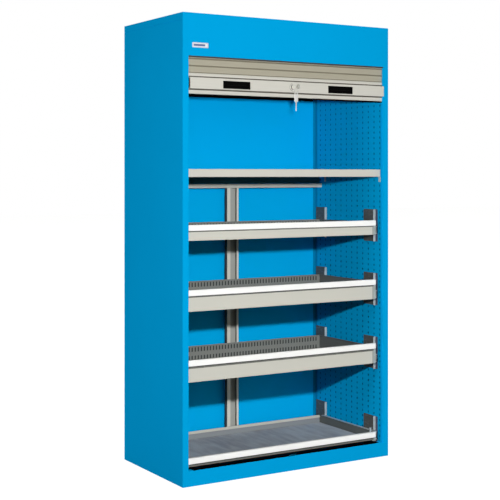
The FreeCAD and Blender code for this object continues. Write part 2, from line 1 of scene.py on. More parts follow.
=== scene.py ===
import bpy
import bmesh
import json
import math
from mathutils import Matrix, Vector

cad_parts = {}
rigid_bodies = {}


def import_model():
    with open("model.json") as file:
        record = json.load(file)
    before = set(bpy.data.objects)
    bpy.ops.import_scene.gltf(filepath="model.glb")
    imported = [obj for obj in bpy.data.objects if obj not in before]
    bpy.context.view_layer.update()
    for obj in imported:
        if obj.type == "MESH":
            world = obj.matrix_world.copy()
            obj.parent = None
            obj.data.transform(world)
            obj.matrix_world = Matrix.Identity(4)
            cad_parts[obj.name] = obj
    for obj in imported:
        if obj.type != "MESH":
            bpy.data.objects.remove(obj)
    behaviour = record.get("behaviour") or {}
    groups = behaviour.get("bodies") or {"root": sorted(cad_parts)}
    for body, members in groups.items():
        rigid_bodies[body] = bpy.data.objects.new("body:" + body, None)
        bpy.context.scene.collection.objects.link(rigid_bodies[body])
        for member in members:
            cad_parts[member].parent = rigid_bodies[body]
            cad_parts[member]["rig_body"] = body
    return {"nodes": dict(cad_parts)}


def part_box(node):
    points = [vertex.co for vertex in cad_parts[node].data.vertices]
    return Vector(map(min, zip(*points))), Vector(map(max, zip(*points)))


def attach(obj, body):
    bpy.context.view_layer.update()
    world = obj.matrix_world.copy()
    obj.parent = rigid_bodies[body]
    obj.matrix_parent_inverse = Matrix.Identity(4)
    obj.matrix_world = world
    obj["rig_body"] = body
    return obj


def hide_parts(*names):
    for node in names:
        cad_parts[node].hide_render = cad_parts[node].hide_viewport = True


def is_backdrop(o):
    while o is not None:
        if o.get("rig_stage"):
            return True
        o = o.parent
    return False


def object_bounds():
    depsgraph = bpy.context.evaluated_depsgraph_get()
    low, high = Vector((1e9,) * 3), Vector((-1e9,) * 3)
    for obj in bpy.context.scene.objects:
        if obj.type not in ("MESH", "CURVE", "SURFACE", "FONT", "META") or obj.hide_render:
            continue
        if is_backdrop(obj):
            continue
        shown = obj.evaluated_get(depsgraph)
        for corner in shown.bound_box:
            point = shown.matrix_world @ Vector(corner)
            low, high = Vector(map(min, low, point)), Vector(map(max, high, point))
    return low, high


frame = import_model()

for spare in [item for item in bpy.data.objects if item.name in ("Cube", "Light", "Camera")]:
    bpy.data.objects.remove(spare)
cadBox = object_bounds()
nodes = frame["nodes"]
mm = 0.001
print("frame loaded with", len(nodes), "nodes")


# small tools for shader nodes

def screenColour(screen):
    # 0-255 screen values to the linear values that a socket takes
    levels = [value / 255 for value in screen]
    return (*[((value + 0.055) / 1.055) ** 2.4 if value > 0.04 else value / 12.92 for value in levels], 1.0)


class Wire:
    # one output of a node; arithmetic on it adds Math nodes
    def __init__(self, board, socket):
        self.board = board
        self.socket = socket

    def maths(self, operation, first, second):
        return self.board.add("ShaderNodeMath", {"operation": operation}, {0: first, 1: second})

    def __add__(self, other):
        return self.maths("ADD", self, other)

    def __mul__(self, other):
        return self.maths("MULTIPLY", self, other)

    __radd__ = __add__
    __rmul__ = __mul__


class Board:
    # the node tree of a material, the world or a lamp
    def __init__(self, owner):
        owner.use_nodes = True
        self.owner = owner
        self.tree = owner.node_tree
        self.tree.nodes.clear()

    def add(self, kind, settings=None, values=None, out=0):
        node = self.tree.nodes.new(kind)
        for key, value in (settings or {}).items():
            if key == "stops":
                self.setStops(node.color_ramp, value)
            else:
                setattr(node, key, value)
        for key, value in (values or {}).items():
            if isinstance(value, Wire):
                self.tree.links.new(value.socket, node.inputs[key])
            else:
                node.inputs[key].default_value = value
        return Wire(self, node.outputs[out]) if len(node.outputs) else None

    def setStops(self, ramp, stops):
        while len(ramp.elements) < len(stops):
            ramp.elements.new(0.5)
        for element, (position, level) in zip(ramp.elements, stops):
            element.position = position
            element.color = (level, level, level, 1.0)

    def noise(self, scale, detail=2.0, stretch=(1.0, 1.0, 1.0)):
        place = self.add("ShaderNodeTexCoord", out=3)
        sized = self.add("ShaderNodeMapping", {}, {"Vector": place, "Scale": stretch})
        return self.add("ShaderNodeTexNoise", {}, {"Vector": sized, "Scale": scale, "Detail": detail})

    def cells(self, scale, feature="F1"):
        place = self.add("ShaderNodeTexCoord", out=3)
        settings = {"feature": feature}
        return self.add("ShaderNodeTexVoronoi", settings, {"Vector": place, "Scale": scale}, out=1)

    def ramp(self, factor, stops):
        return self.add("ShaderNodeValToRGB", {"stops": stops}, {0: factor})

    def mix(self, factor, first, second, kind="MIX"):
        settings = {"data_type": "RGBA", "blend_type": kind}
        return self.add("ShaderNodeMix", settings, {0: factor, 6: first, 7: second}, out=2)

    def bump(self, height, strength, distance):
        values = {"Height": height, "Strength": strength, "Distance": distance}
        return self.add("ShaderNodeBump", {}, values)

    def finish(self, values):
        shader = self.add("ShaderNodeBsdfPrincipled", {}, values)
        self.add("ShaderNodeOutputMaterial", {}, {"Surface": shader})
        return self.owner


def newBoard(name):
    return Board(bpy.data.materials.new(name))


# finishes

def powderCoat(name, colour, roughness, shine, variation=0.03):
    board = newBoard(name)
    cloud = board.ramp(board.noise(2.6, 4.0), [(0.3, 1.0 - variation), (0.7, 1.0)])
    speckle = board.ramp(board.noise(900.0, 1.0), [(0.35, 1.0 - variation / 2), (0.65, 1.0)])
    toned = board.mix(1.0, screenColour(colour), cloud, "MULTIPLY")
    toned = board.mix(1.0, toned, speckle, "MULTIPLY")
    peel = board.noise(520.0, 2.0)
    return board.finish({
        "Base Color": toned,
        "Roughness": board.noise(3.0, 3.0) * 0.1 + (roughness - 0.05),
        "Specular IOR Level": shine,
        "Normal": board.bump(peel, 0.12, 0.0004),
    })


def drawnProfile(name, colour, roughness, metallic, shine=0.3, along=(0.6, 60.0, 60.0)):
    # extruded or rolled metal, with fine lines along its length
    board = newBoard(name)
    lines = board.noise(14.0, 4.0, along)
    toned = board.mix(1.0, screenColour(colour), board.ramp(lines, [(0.3, 0.93), (0.7, 1.0)]), "MULTIPLY")
    return board.finish({
        "Base Color": toned,
        "Metallic": metallic,
        "Roughness": lines * 0.16 + (roughness - 0.08),
        "Specular IOR Level": shine,
        "Normal": board.bump(lines, 0.08, 0.0003),
    })


def galvanised(name, colour, roughness, metallic, spangle=60.0):
    # zinc with its crystal pattern and small scuffs
    board = newBoard(name)
    crystal = board.cells(spangle)
    tone = board.add("ShaderNodeRGBToBW", {}, {0: crystal})
    shade = board.ramp(tone, [(0.1, 0.82), (0.9, 1.0)])
    toned = board.mix(1.0, screenColour(colour), shade, "MULTIPLY")
    scuff = board.ramp(board.noise(45.0, 6.0, (1.0, 1.0, 4.0)), [(0.52, 0.0), (0.75, 1.0)])
    return board.finish({
        "Base Color": board.mix(scuff * 0.12, toned, (0.55, 0.57, 0.58, 1.0)),
        "Metallic": metallic,
        "Roughness": tone * 0.12 + (roughness - 0.06),
        "Normal": board.bump(board.noise(260.0, 3.0), 0.06, 0.0004),
    })


def mouldedPlastic(name, colour, roughness, shine, grain=700.0):
    board = newBoard(name)
    fine = board.noise(grain, 2.0)
    cloud = board.ramp(board.noise(5.0, 3.0), [(0.3, 0.96), (0.7, 1.0)])
    return board.finish({
        "Base Color": board.mix(1.0, screenColour(colour), cloud, "MULTIPLY"),
        "Roughness": fine * 0.1 + (roughness - 0.05),
        "Specular IOR Level": shine,
        "Normal": board.bump(fine, 0.1, 0.0003),
    })


def polishedMetal(name, colour, roughness):
    board = newBoard(name)
    haze = board.noise(90.0, 4.0)
    scratch = board.noise(30.0, 3.0, (1.0, 9.0, 40.0))
    return board.finish({
        "Base Color": board.mix(haze * 0.2, screenColour(colour), (0.42, 0.41, 0.4, 1.0)),
        "Metallic": 1.0,
        "Roughness": haze * 0.14 + roughness,
        "Normal": board.bump(scratch, 0.05, 0.0002),
    })


def ribbedRubber(name):
    # grey mat: cloudy bloom over fine moulded grain
    board = newBoard(name)
    bloom = board.noise(7.0, 5.0, (1.0, 0.45, 1.0))
    streak = board.noise(16.0, 4.0, (2.4, 0.5, 1.0))
    tone = board.ramp(bloom * 0.6 + streak * 0.4, [(0.38, 0.0), (0.62, 1.0)])
    colour = board.mix(tone, screenColour((135, 139, 146)), screenColour((163, 170, 178)))
    grain = board.noise(900.0, 2.0)
    return board.finish({
        "Base Color": colour,
        "Roughness": grain * 0.12 + 0.5,
        "Specular IOR Level": 0.15,
        "Normal": board.bump(grain, 0.15, 0.0003),
    })


finishes = {
    "blue": powderCoat("bluePowderCoat", (1, 162, 226), 0.5, 0.0),
    # lighter copy of the blue paint for the rear panel: painted light
    "blueLitRear": powderCoat("blueRearLitCoat", (1, 167, 231), 0.5, 0.0),
    # darker copy of the blue paint for the perforated walls: painted shade
    "blueInner": powderCoat("blueInnerShadedCoat", (1, 147, 201), 0.5, 0.0),
    # darker blue for the rear corners: painted shade
    "blueCornerShade": powderCoat("bluePaintedCornerShade", (1, 122, 168), 0.6, 0.0),
    "beige": powderCoat("beigePowderCoat", (205, 204, 196), 0.5, 0.2),
    "railGrey": powderCoat("greyPowderCoat", (190, 190, 182), 0.5, 0.2),
    # grey of the rear post, darker than its pale lip facings: painted shade in its channel; also the darker
    # strip at each drawer front's end
    "postGrey": powderCoat("greyWebCoat", (164, 166, 161), 0.55, 0.15),
    # grey band under the handles: painted shadow
    "handleShadowGrey": mouldedPlastic("paintedHandleShadowPlastic", (112, 113, 109), 0.55, 0.12),
    # dark grey for painted shade: under the handles, under the lintel, beside the post and behind the tray
    # slots
    "seatDark": mouldedPlastic("paintedShadeDarkPlastic", (66, 70, 69), 0.6, 0.1),
    "trayGrey": powderCoat("trayGreyCoat", (126, 129, 126), 0.55, 0.15),
    "trayDark": powderCoat("trayDarkCoat", (90, 94, 93), 0.55, 0.12),
    "trayBlueGrey": powderCoat("trayBlueGreyCoat", (134, 139, 144), 0.55, 0.1),
    # dark blue sheet behind the wall holes: painted shade
    "lining": mouldedPlastic("bluePaintedHoleShade", (2, 97, 144), 0.8, 0.0, 260.0),
    # dark blue-grey strip under the shelf: painted shade
    "shelfShade": mouldedPlastic("paintedShelfShade", (38, 88, 100), 0.8, 0.05, 260.0),
    "slat": drawnProfile("curtainSlatCoat", (173, 168, 152), 0.5, 0.0, 0.08),
    "slatJoint": drawnProfile("curtainJointCoat", (132, 127, 111), 0.6, 0.0, 0.02),
    "bar": drawnProfile("barProfileCoat", (209, 207, 200), 0.45, 0.0, 0.12),
    # dark inlays beside the bar's band: painted shade of grooves
    "barGrooveShade": mouldedPlastic("barGrooveShadeInlay", (92, 88, 80), 0.7, 0.1),
    "white": mouldedPlastic("whiteHandlePlastic", (255, 255, 255), 0.45, 0.6),
    "blackPlastic": mouldedPlastic("blackGripPlastic", (7, 7, 7), 0.6, 0.02),
    # dark blue-grey beside the hanger flanges: painted shadow
    "flangeShadowGrey": mouldedPlastic("paintedFlangeShadow", (68, 76, 96), 0.6, 0.05),
    # black rubber of the bottom seal, and painted shade in the strips on the sill, the rear panel and the
    # bottom drawer
    "blackRubberAndShade": mouldedPlastic("blackSealRubberAndPaintedShade", (6, 7, 8), 0.8, 0.0, 300.0),
    "nylon": mouldedPlastic("glideNylon", (60, 60, 62), 0.5, 0.3),
    "zinc": galvanised("brightZinc", (184, 194, 198), 0.45, 0.15),
    "stripZinc": galvanised("greyZinc", (168, 178, 178), 0.5, 0.1),
    "darkZinc": galvanised("darkZinc", (76, 76, 73), 0.55, 0.1),
    "spring": galvanised("springSteel", (90, 92, 96), 0.4, 0.8, 200.0),
    "nickel": polishedMetal("polishedNickel", (204, 204, 200), 0.22),
    "satinNickel": polishedMetal("satinNickel", (214, 212, 204), 0.3),
    # darker nickel for the lock's side walls: painted shade
    "nickelSideShade": polishedMetal("shadedNickelSide", (96, 95, 90), 0.35),
    "matRubber": ribbedRubber("greyMatRubber"),
    "plate": mouldedPlastic("namePlatePlastic", (226, 228, 234), 0.35, 0.4),
    "plateRule": mouldedPlastic("namePlateRule", (96, 110, 156), 0.4, 0.3),
}
print("finishes made", len(finishes))


# small tools for modelling

near = 0.05 * mm  # what counts as touching in a test
weld = 0.01 * mm  # points closer than this become one
flat = 0.9  # a normal's share along an axis from which a face is square to it
# direction in which a sheet looks: its turn
facings = {
    "-x": (0, -math.pi / 2, 0),
    "+y": (-math.pi / 2, 0, 0),
    "-y": (math.pi / 2, 0, 0),
    "-z": (math.pi, 0, 0),
}


def activate(piece):
    bpy.ops.object.select_all(action="DESELECT")
    piece.select_set(True)
    bpy.context.view_layer.objects.active = piece
    return piece


def settle(piece, name=None):
    activate(piece)
    bpy.ops.object.transform_apply(location=True, rotation=True, scale=True)
    if name:
        piece.name = name
        piece.data.name = name
    return piece


def middle(low, high):
    return [(a + b) / 2 for a, b in zip(low, high)]


def addBlock(name, low, high):
    bpy.ops.object.select_all(action="DESELECT")
    bpy.ops.mesh.primitive_cube_add(size=1, location=middle(low, high))
    piece = bpy.context.object
    piece.scale = [b - a for a, b in zip(low, high)]
    return settle(piece, name)


def addSheet(name, facing, low, high):
    # flat rectangle between two corners that share one coordinate
    bpy.ops.object.select_all(action="DESELECT")
    bpy.ops.mesh.primitive_plane_add(size=1, location=middle(low, high), rotation=facings[facing])
    piece = bpy.context.object
    span = [b - a for a, b in zip(low, high)]
    sides = {"x": (span[2], span[1]), "y": (span[0], span[2]), "z": (span[0], span[1])}
    piece.scale = (*sides[facing[1]], 1)
    return settle(piece, name)


def addRod(name, radius, low, high, sides=32):
    # round bar along the one coordinate in which the two ends differ
    along = [abs(b - a) for a, b in zip(low, high)]
    axis = along.index(max(along))
    turn = [(0, math.pi / 2, 0), (math.pi / 2, 0, 0), (0, 0, 0)][axis]
    bpy.ops.object.select_all(action="DESELECT")
    bpy.ops.mesh.primitive_cylinder_add(
        vertices=sides, radius=radius, depth=max(along), location=middle(low, high), rotation=turn)
    return settle(bpy.context.object, name)


def centreOf(item):
    if hasattr(item, "calc_center_median"):
        return item.calc_center_median()
    if hasattr(item, "verts"):
        return (item.verts[0].co + item.verts[1].co) / 2
    return item.co


def choose(piece, kind, test):
    # edit mode, with the faces, edges or points that pass the test selected
    activate(piece)
    bpy.ops.object.mode_set(mode="EDIT")
    bpy.ops.mesh.select_mode(type=kind)
    bpy.ops.mesh.select_all(action="DESELECT")
    cage = bmesh.from_edit_mesh(piece.data)
    items = {"FACE": cage.faces, "EDGE": cage.edges, "VERT": cage.verts}[kind]
    for item in [item for item in items if test(item)]:
        item.select_set(True)
    bmesh.update_edit_mesh(piece.data)


def leave():
    bpy.ops.object.mode_set(mode="OBJECT")


def edgeAt(axis, value):
    # test for edges that lie where the coordinate has this value
    return lambda line: all(abs(point.co[axis] - value) < near for point in line.verts)


def reaches(axis, least=0.3 * mm):
    # test for edges that reach further than this along the axis
    return lambda line: abs(line.verts[0].co[axis] - line.verts[1].co[axis]) > least


def faces(axis, sign):
    # test for faces that look along the axis in the direction of the sign
    return lambda face: sign * face.normal[axis] > flat


def push(offset):
    bpy.ops.mesh.extrude_region_move(TRANSFORM_OT_translate={"value": offset})


def grow(piece, kind, test, *offsets):
    choose(piece, kind, test)
    for offset in offsets:
        push(offset)
    leave()


def shift(piece, kind, test, offset):
    choose(piece, kind, test)
    bpy.ops.transform.translate(value=offset)
    leave()


def drop(piece, kind, test):
    choose(piece, kind, test)
    bpy.ops.mesh.delete(type=kind)
    leave()


def roundEdges(piece, test, radius, steps=3):
    choose(piece, "EDGE", test)
    bpy.ops.mesh.bevel(offset=radius, offset_type="OFFSET", segments=steps, affect="EDGES")
    leave()


def cutAt(piece, point, normal, clear=False):
    choose(piece, "FACE", lambda face: True)
    bpy.ops.mesh.bisect(plane_co=point, plane_no=normal, clear_outer=clear, use_fill=False)
    leave()


def finishWith(piece, kind, **settings):
    activate(piece)
    step = piece.modifiers.new(kind, kind)
    for key, value in settings.items():
        setattr(step, key, value)
    bpy.ops.object.modifier_apply(modifier=step.name)
    return piece


def thicken(piece, thickness):
    return finishWith(piece, "SOLIDIFY", thickness=thickness, offset=-1.0, use_even_offset=True)


def breakEdges(piece, width, steps=1, angle=35.0):
    return finishWith(
        piece, "BEVEL", width=width, segments=steps, limit_method="ANGLE",
        angle_limit=math.radians(angle), use_clamp_overlap=True)


def addSoftBlock(name, low, high, width, steps=1):
    return breakEdges(addBlock(name, low, high), width, steps)


def repeat(piece, count, offset):
    return finishWith(
        piece, "ARRAY", count=count, use_relative_offset=False, use_constant_offset=True,
        constant_offset_displace=offset, use_merge_vertices=True, merge_threshold=2 * weld)


def carve(piece, cutter):
    finishWith(piece, "BOOLEAN", operation="DIFFERENCE", object=cutter, solver="EXACT")
    bpy.data.objects.remove(cutter)
    return piece


def joinAll(name, pieces):
    bpy.ops.object.select_all(action="DESELECT")
    for piece in pieces:
        piece.select_set(True)
    bpy.context.view_layer.objects.active = pieces[0]
    if len(pieces) > 1:
        bpy.ops.object.join()
    pieces[0].name = name
    pieces[0].data.name = name
    return pieces[0]


def copyOf(piece, offset=(0, 0, 0)):
    twin = piece.copy()
    twin.data = piece.data.copy()
    bpy.context.scene.collection.objects.link(twin)
    twin.location = offset
    return settle(twin)


def tidyNormals(piece):
    choose(piece, "FACE", lambda face: True)
    bpy.ops.mesh.remove_doubles(threshold=weld)
    bpy.ops.mesh.normals_make_consistent(inside=False)
    leave()
    return piece


def hollowOut(piece, width):
    # turns a block that faces forwards into a frame of this width
    choose(piece, "FACE", lambda face: abs(face.normal.y) > flat)
    bpy.ops.mesh.inset(thickness=width)
    bpy.ops.mesh.delete(type="FACE")
    leave()
    choose(piece, "EDGE", lambda line: line.is_boundary)
    bpy.ops.mesh.bridge_edge_loops()
    leave()
    return tidyNormals(piece)


def mirrored(piece):
    twin = copyOf(piece)
    twin.scale.x = -1
    return tidyNormals(settle(twin))


def withTwin(piece):
    return [piece, mirrored(piece)]


def hand(piece, body, finish, *replaced, smooth=30.0):
    # last step of every piece: shading, finish, body and the nodes it stands for
    activate(piece)
    bpy.ops.object.shade_smooth_by_angle(angle=math.radians(smooth))
    finishWith(piece, "WEIGHTED_NORMAL", keep_sharp=True, weight=100)
    piece.data.materials.clear()
    piece.data.materials.append(finishes[finish])
    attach(piece, body)
    if replaced:
        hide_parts(*replaced)
    return piece


def handPair(piece, name, body, finish, node=None):
    # the piece and its mirror image, named for their sides
    for twin, side in zip(withTwin(piece), ("Right", "Left")):
        twin.name = name + side
        hand(twin, body, finish, *([node + side.lower()] if node else []))


def softCopy(node, finish, width, steps=2):
    # the node's own shape with its edges broken
    source = nodes[node]
    piece = source.copy()
    piece.data = source.data.copy()
    bpy.context.scene.collection.objects.link(piece)
    for key in list(piece.keys()):
        if key.startswith("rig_"):
            del piece[key]
    piece.parent = None
    words = node.split("_")
    piece.name = words[0] + "".join(word.capitalize() for word in words[1:])
    choose(piece, "FACE", lambda face: True)
    bpy.ops.mesh.remove_doubles(threshold=weld)
    bpy.ops.mesh.dissolve_limited(angle_limit=math.radians(1.0))
    leave()
    breakEdges(piece, width, steps)
    return hand(piece, source["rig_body"], finish, node)


def dress(node, finish):
    # the node itself stays, with its finish
    materials = nodes[node].data.materials
    for number in range(len(materials)):
        materials[number] = finishes[finish]


# nodes that keep their own shape: finish, width of the broken edges, steps in them

nodeCopies = {
    "front_frame": ("blue", 0.8 * mm, 2),
    "side_panel_left": ("blue", 0.7 * mm, 2),
    "side_panel_right": ("blue", 0.7 * mm, 2),
    "top_cover": ("blue", 0.7 * mm, 2),
    # the rear panel takes the lighter copy of the blue paint: painted light
    "rear_panel": ("blueLitRear", 0.6 * mm, 2),
    "base_pan": ("blue", 0.5 * mm, 1),
    "rear_cross_rail": ("railGrey", 0.5 * mm, 2),
    "rear_post": ("postGrey", 0.7 * mm, 2),
    "bottom_bar": ("bar", 1.0 * mm, 2),
    "lock_cam": ("zinc", 0.3 * mm, 2),
    "guide_channel_left": ("blue", 0.4 * mm, 1),
    "guide_channel_right": ("blue", 0.4 * mm, 1),
    "bar_glides": ("nylon", 1.5 * mm, 2),
    "barrel_brackets": ("zinc", 0.4 * mm, 1),
    "fixed_shelf": ("beige", 0.7 * mm, 2),
    "shelf_clips": ("zinc", 0.3 * mm, 1),
    "cabinet_slides": ("zinc", 0.35 * mm, 1),
}
# hidden nodes that stay as they are: finish
dressedNodes = {
    "barrel_shaft": "zinc", "barrel_spring": "spring", "barrel_tube": "zinc",
    "barrel_plugs": "nylon", "barrel_winding": "slat",
}
drawerCount = 4
for number in range(1, drawerCount + 1):
    for member in ("inner", "middle"):
        nodeCopies["drawer_%d_%s_slides" % (number, member)] = nodeCopies["cabinet_slides"]
for node, (finish, width, steps) in nodeCopies.items():
    softCopy(node, finish, width, steps)
for node, finish in dressedNodes.items():
    dress(node, finish)
print("casing, channels, shelf and slides made")


# perforated inner walls

wallGrid = {
    "columnPitch": 43.3 * mm,
    "rowPitch": 24.4 * mm,
    "holeWidth": 8.0 * mm,
    "holeHeight": 10.0 * mm,
    "firstColumn": -248.0 * mm,
    "firstRow": 36.6 * mm,
    "columns": 12,
    "rows": 71,
    "sheet": 1.2 * mm,
    "corner": 1.6 * mm,
}
cellShape = {"lipShare": 0.125, "reachShare": 0.8}


def addPiercedCell(name, facing, centre, pitch, hole, corner):
    # one cell of sheet with a hole that has rounded corners; pitch and hole are (across, up)
    across = 1 if facing[1] == "x" else 0
    low = list(centre)
    high = list(centre)
    for axis, side in ((across, pitch[0]), (2, pitch[1])):
        low[axis] -= side / 2
        high[axis] += side / 2
    cell = addSheet(name, facing, low, high)
    lip = min(pitch) * cellShape["lipShare"]
    choose(cell, "FACE", lambda face: True)
    bpy.ops.mesh.inset(thickness=lip)
    size = [1.0, 1.0, 1.0]
    size[across] = hole[0] / (pitch[0] - 2 * lip)
    size[2] = hole[1] / (pitch[1] - 2 * lip)
    bpy.ops.transform.resize(value=size, center_override=centre)
    leave()
    reach = max(hole) * cellShape["reachShare"]
    choose(cell, "VERT", lambda point: (point.co - Vector(centre)).length < reach)
    bpy.ops.mesh.bevel(offset=corner, segments=1, affect="VERTICES")
    leave()
    drop(cell, "FACE", lambda face: (centreOf(face) - Vector(centre)).length < corner / 2)
    return cell


def fitSheet(piece, axis, low, high):
    # grows or cuts a flat sheet along one axis to reach from low to high
    values = [point.co[axis] for point in piece.data.vertices]
    for edge, wanted, sign in ((min(values), low, -1), (max(values), high, 1)):
        step = [0.0, 0.0, 0.0]
        if sign * (wanted - edge) > 0:
            step[axis] = wanted - edge
            grow(piece, "EDGE", edgeAt(axis, edge), step)
        else:
            point = [0.0, 0.0, 0.0]
            point[axis] = wanted
            step[axis] = sign
            cutAt(piece, point, step, clear=True)


holeShadeShape = {"sheet": 1.5 * mm, "thickness": 0.6 * mm, "margin": 4.0 * mm, "edge": 0.2 * mm}


def makePerforatedWalls():
    low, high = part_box("perforated_wall_right")
    grid = wallGrid
    centre = (low.x, grid["firstColumn"], grid["firstRow"])
    pitch = (grid["columnPitch"], grid["rowPitch"])
    hole = (grid["holeWidth"], grid["holeHeight"])
    wall = addPiercedCell("perforatedWallRight", "-x", centre, pitch, hole, grid["corner"])
    repeat(wall, grid["columns"], (0, grid["columnPitch"], 0))
    repeat(wall, grid["rows"], (0, 0, grid["rowPitch"]))
    fitSheet(wall, 1, low.y, high.y)
    fitSheet(wall, 2, low.z, high.z)
    for edge in (low.y, high.y):
        grow(wall, "EDGE", edgeAt(1, edge), (high.x - low.x, 0, 0))
    thicken(wall, grid["sheet"])
    # the perforated walls take the darker copy of the blue paint: painted shade
    handPair(wall, "perforatedWall", "cabinet", "blueInner", "perforated_wall_")


def makeHoleShadeSheets():
    # dark blue sheet on the inside of the side panels, seen through the holes: painted shade behind them
    shape = holeShadeShape
    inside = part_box("side_panel_right")[1].x - shape["sheet"]
    low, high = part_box("perforated_wall_right")
    margin = shape["margin"]
    lining = addSoftBlock(
        "soundLiningRight", (inside - shape["thickness"], low.y + margin, low.z + margin),
        (inside, high.y - margin, high.z - margin), shape["edge"])
    handPair(lining, "soundLining", "cabinet", "lining")


cornerSeal = {
    "inner": 492.0 * mm, "outer": 505.9 * mm, "front": 253.0 * mm, "low": 32.0 * mm, "high": 1766.0 * mm,
    "thickness": 0.9 * mm, "proud": 0.1 * mm, "edge": 0.2 * mm,
}


def makeCornerShadeStrips():
    # darker blue strip where the rear panel meets each inner wall: painted shade in the corner
    shape = cornerSeal
    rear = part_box("rear_panel")[0].y
    inner = rear - shape["thickness"]
    low = (shape["inner"], inner, shape["low"])
    strip = addBlock("cornerSealRight", low, (shape["outer"], rear, shape["high"]))
    grow(strip, "FACE", faces(1, -1), (0, -shape["proud"], 0))
    corner = shape["outer"] - shape["thickness"]
    cutAt(strip, (corner, 0, 0), (1, 0, 0))
    grow(strip, "FACE", lambda face: face.normal.y < -flat and centreOf(face).x > corner,
         (0, shape["front"] - inner + shape["proud"], 0))
    breakEdges(strip, shape["edge"])
    handPair(strip, "cornerSeal", "cabinet", "blueCornerShade")


rearStrip = {
    "half": 491.5 * mm, "thickness": 1.6 * mm, "low": 1644.0 * mm, "high": 1662.0 * mm, "edge": 0.5 * mm,
}


def makeBarShadowStrip():
    # black strip across the rear panel, level with the raised bar: painted shadow of the bar
    shape = rearStrip
    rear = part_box("rear_panel")[0].y
    strip = addSoftBlock("rearStrip", (-shape["half"], rear - shape["thickness"], shape["low"]),
                         (shape["half"], rear, shape["high"]), shape["edge"], 2)
    hand(strip, "cabinet", "blackRubberAndShade")


makePerforatedWalls()
makeHoleShadeSheets()
makeCornerShadeStrips()
makeBarShadowStrip()
print("perforated walls made")


# rear post's strips, name plate, screws

postStrips = {
    "half": 29.0 * mm, "overhang": 3.5 * mm, "leftTo": -15.0 * mm, "rightFrom": 18.8 * mm,
    "edgeFrom": 13.8 * mm, "proud": 0.4 * mm, "gap": 0.6 * mm, "edge": 0.12 * mm,
}


def makePostStrips():
    # pale facings on the two lips, lighter than the grey post so that its web reads as painted shade, and
    # dark edging as painted shade on one lip and one flank
    shape = postStrips
    low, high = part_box("rear_post")
    half = shape["half"]
    front = low.y - shape["proud"]
    spans = {
        ("postFacings", "beige"): ((-half - shape["overhang"], shape["leftTo"], low.y),
                                   (shape["rightFrom"], half, low.y)),
        ("postEdgings", "seatDark"): ((shape["edgeFrom"], shape["rightFrom"], low.y),
                                      (-half - shape["proud"], -half, high.y)),
    }
    for (name, finish), places in spans.items():
        strips = [addSoftBlock(name, (x0, front, low.z + shape["gap"]), (x1, y1, high.z - shape["gap"]),
                               shape["edge"]) for x0, x1, y1 in places]
        hand(joinAll(name, strips), "cabinet", finish)


makePostStrips()

namePlate = {
    "corner": 3.0 * mm, "edge": 0.25 * mm, "ruleInset": 1.6 * mm, "ruleWidth": 0.7 * mm,
    "proud": 0.15 * mm, "sunk": 0.1 * mm, "barFrom": 6.0 * mm, "barTo": 60.0 * mm, "barHalf": 4.2 * mm,
    "barEdge": 0.05 * mm,
}


def makeNamePlate():
    # plate with a thin rule along its edge and a plain bar
    shape = namePlate
    low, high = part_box("blank_name_plate")
    plate = addBlock("namePlate", low, high)
    roundEdges(plate, reaches(1), shape["corner"], 4)
    breakEdges(plate, shape["edge"])
    hand(plate, "cabinet", "plate", "blank_name_plate")
    inset = shape["ruleInset"]
    front = low.y - shape["proud"]
    rear = low.y + shape["sunk"]
    rule = addBlock("namePlateRule", (low.x + inset, front, low.z + inset),
                    (high.x - inset, rear, high.z - inset))
    roundEdges(rule, reaches(1, shape["sunk"]), shape["corner"] - inset, 4)
    hollowOut(rule, shape["ruleWidth"])
    middleZ = (low.z + high.z) / 2
    bar = addSoftBlock(
        "namePlateBar", (low.x + shape["barFrom"], front, middleZ - shape["barHalf"]),
        (low.x + shape["barTo"], rear, middleZ + shape["barHalf"]), shape["barEdge"])
    hand(joinAll("namePlateRule", [rule, bar]), "cabinet", "plateRule")


makeNamePlate()

screwHead = {
    "axisX": 517.25 * mm, "rows": 6, "sides": 24, "dome": 0.9 * mm, "recess": 2.4 * mm,
    "recessDepth": 1.6 * mm,
}


def makeCasingScrews():
    shape = screwHead
    low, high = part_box("casing_screws")
    radius = high.x - shape["axisX"]
    first = low.z + radius
    step = (high.z - low.z - 2 * radius) / (shape["rows"] - 1)
    x = shape["axisX"]
    head = addRod("casingScrewHead", radius, (x, low.y, first), (x, high.y, first), shape["sides"])
    roundEdges(head, edgeAt(1, high.y), shape["dome"], 3)
    choose(head, "FACE", lambda face: face.normal.y > flat and centreOf(face).y > high.y - near)
    bpy.ops.mesh.inset(thickness=radius - shape["dome"] - shape["recess"])
    push((0, -shape["recessDepth"], 0))
    leave()
    heads = [head] + [copyOf(head, (0, 0, step * row)) for row in range(1, shape["rows"])]
    heads += [mirrored(piece) for piece in heads]
    hand(joinAll("casingScrews", heads), "cabinet", "zinc", "casing_screws")


makeCasingScrews()
print("post strips, name plate and screws made")


# roller curtain

slatShape = {
    "pitch": 29.5 * mm,
    "gap": 0.4 * mm,
    "thickness": 2.6 * mm,
    "jointDepth": 2.1 * mm,
    "grooveDepth": 0.9 * mm,
    "sections": 8,
    "slats": 7,
    "step": 2.9 * mm,
    "front": -267.7 * mm,
    "bottom": 1703.5 * mm,
    "half": 505.4 * mm,
    "jointShare": 0.085,
    # share of the slat's height, and depth there: above 0 in joints, below 0 in grooves
    "profile": ((0.0, 1.0), (0.05, 0.8), (0.09, 0.15), (0.16, 0.0), (0.4, 0.0), (0.46, -0.2), (0.5, -1.0),
                (0.54, -0.2), (0.6, 0.0), (0.84, 0.0), (0.91, 0.15), (0.95, 0.8), (1.0, 1.0)),
}


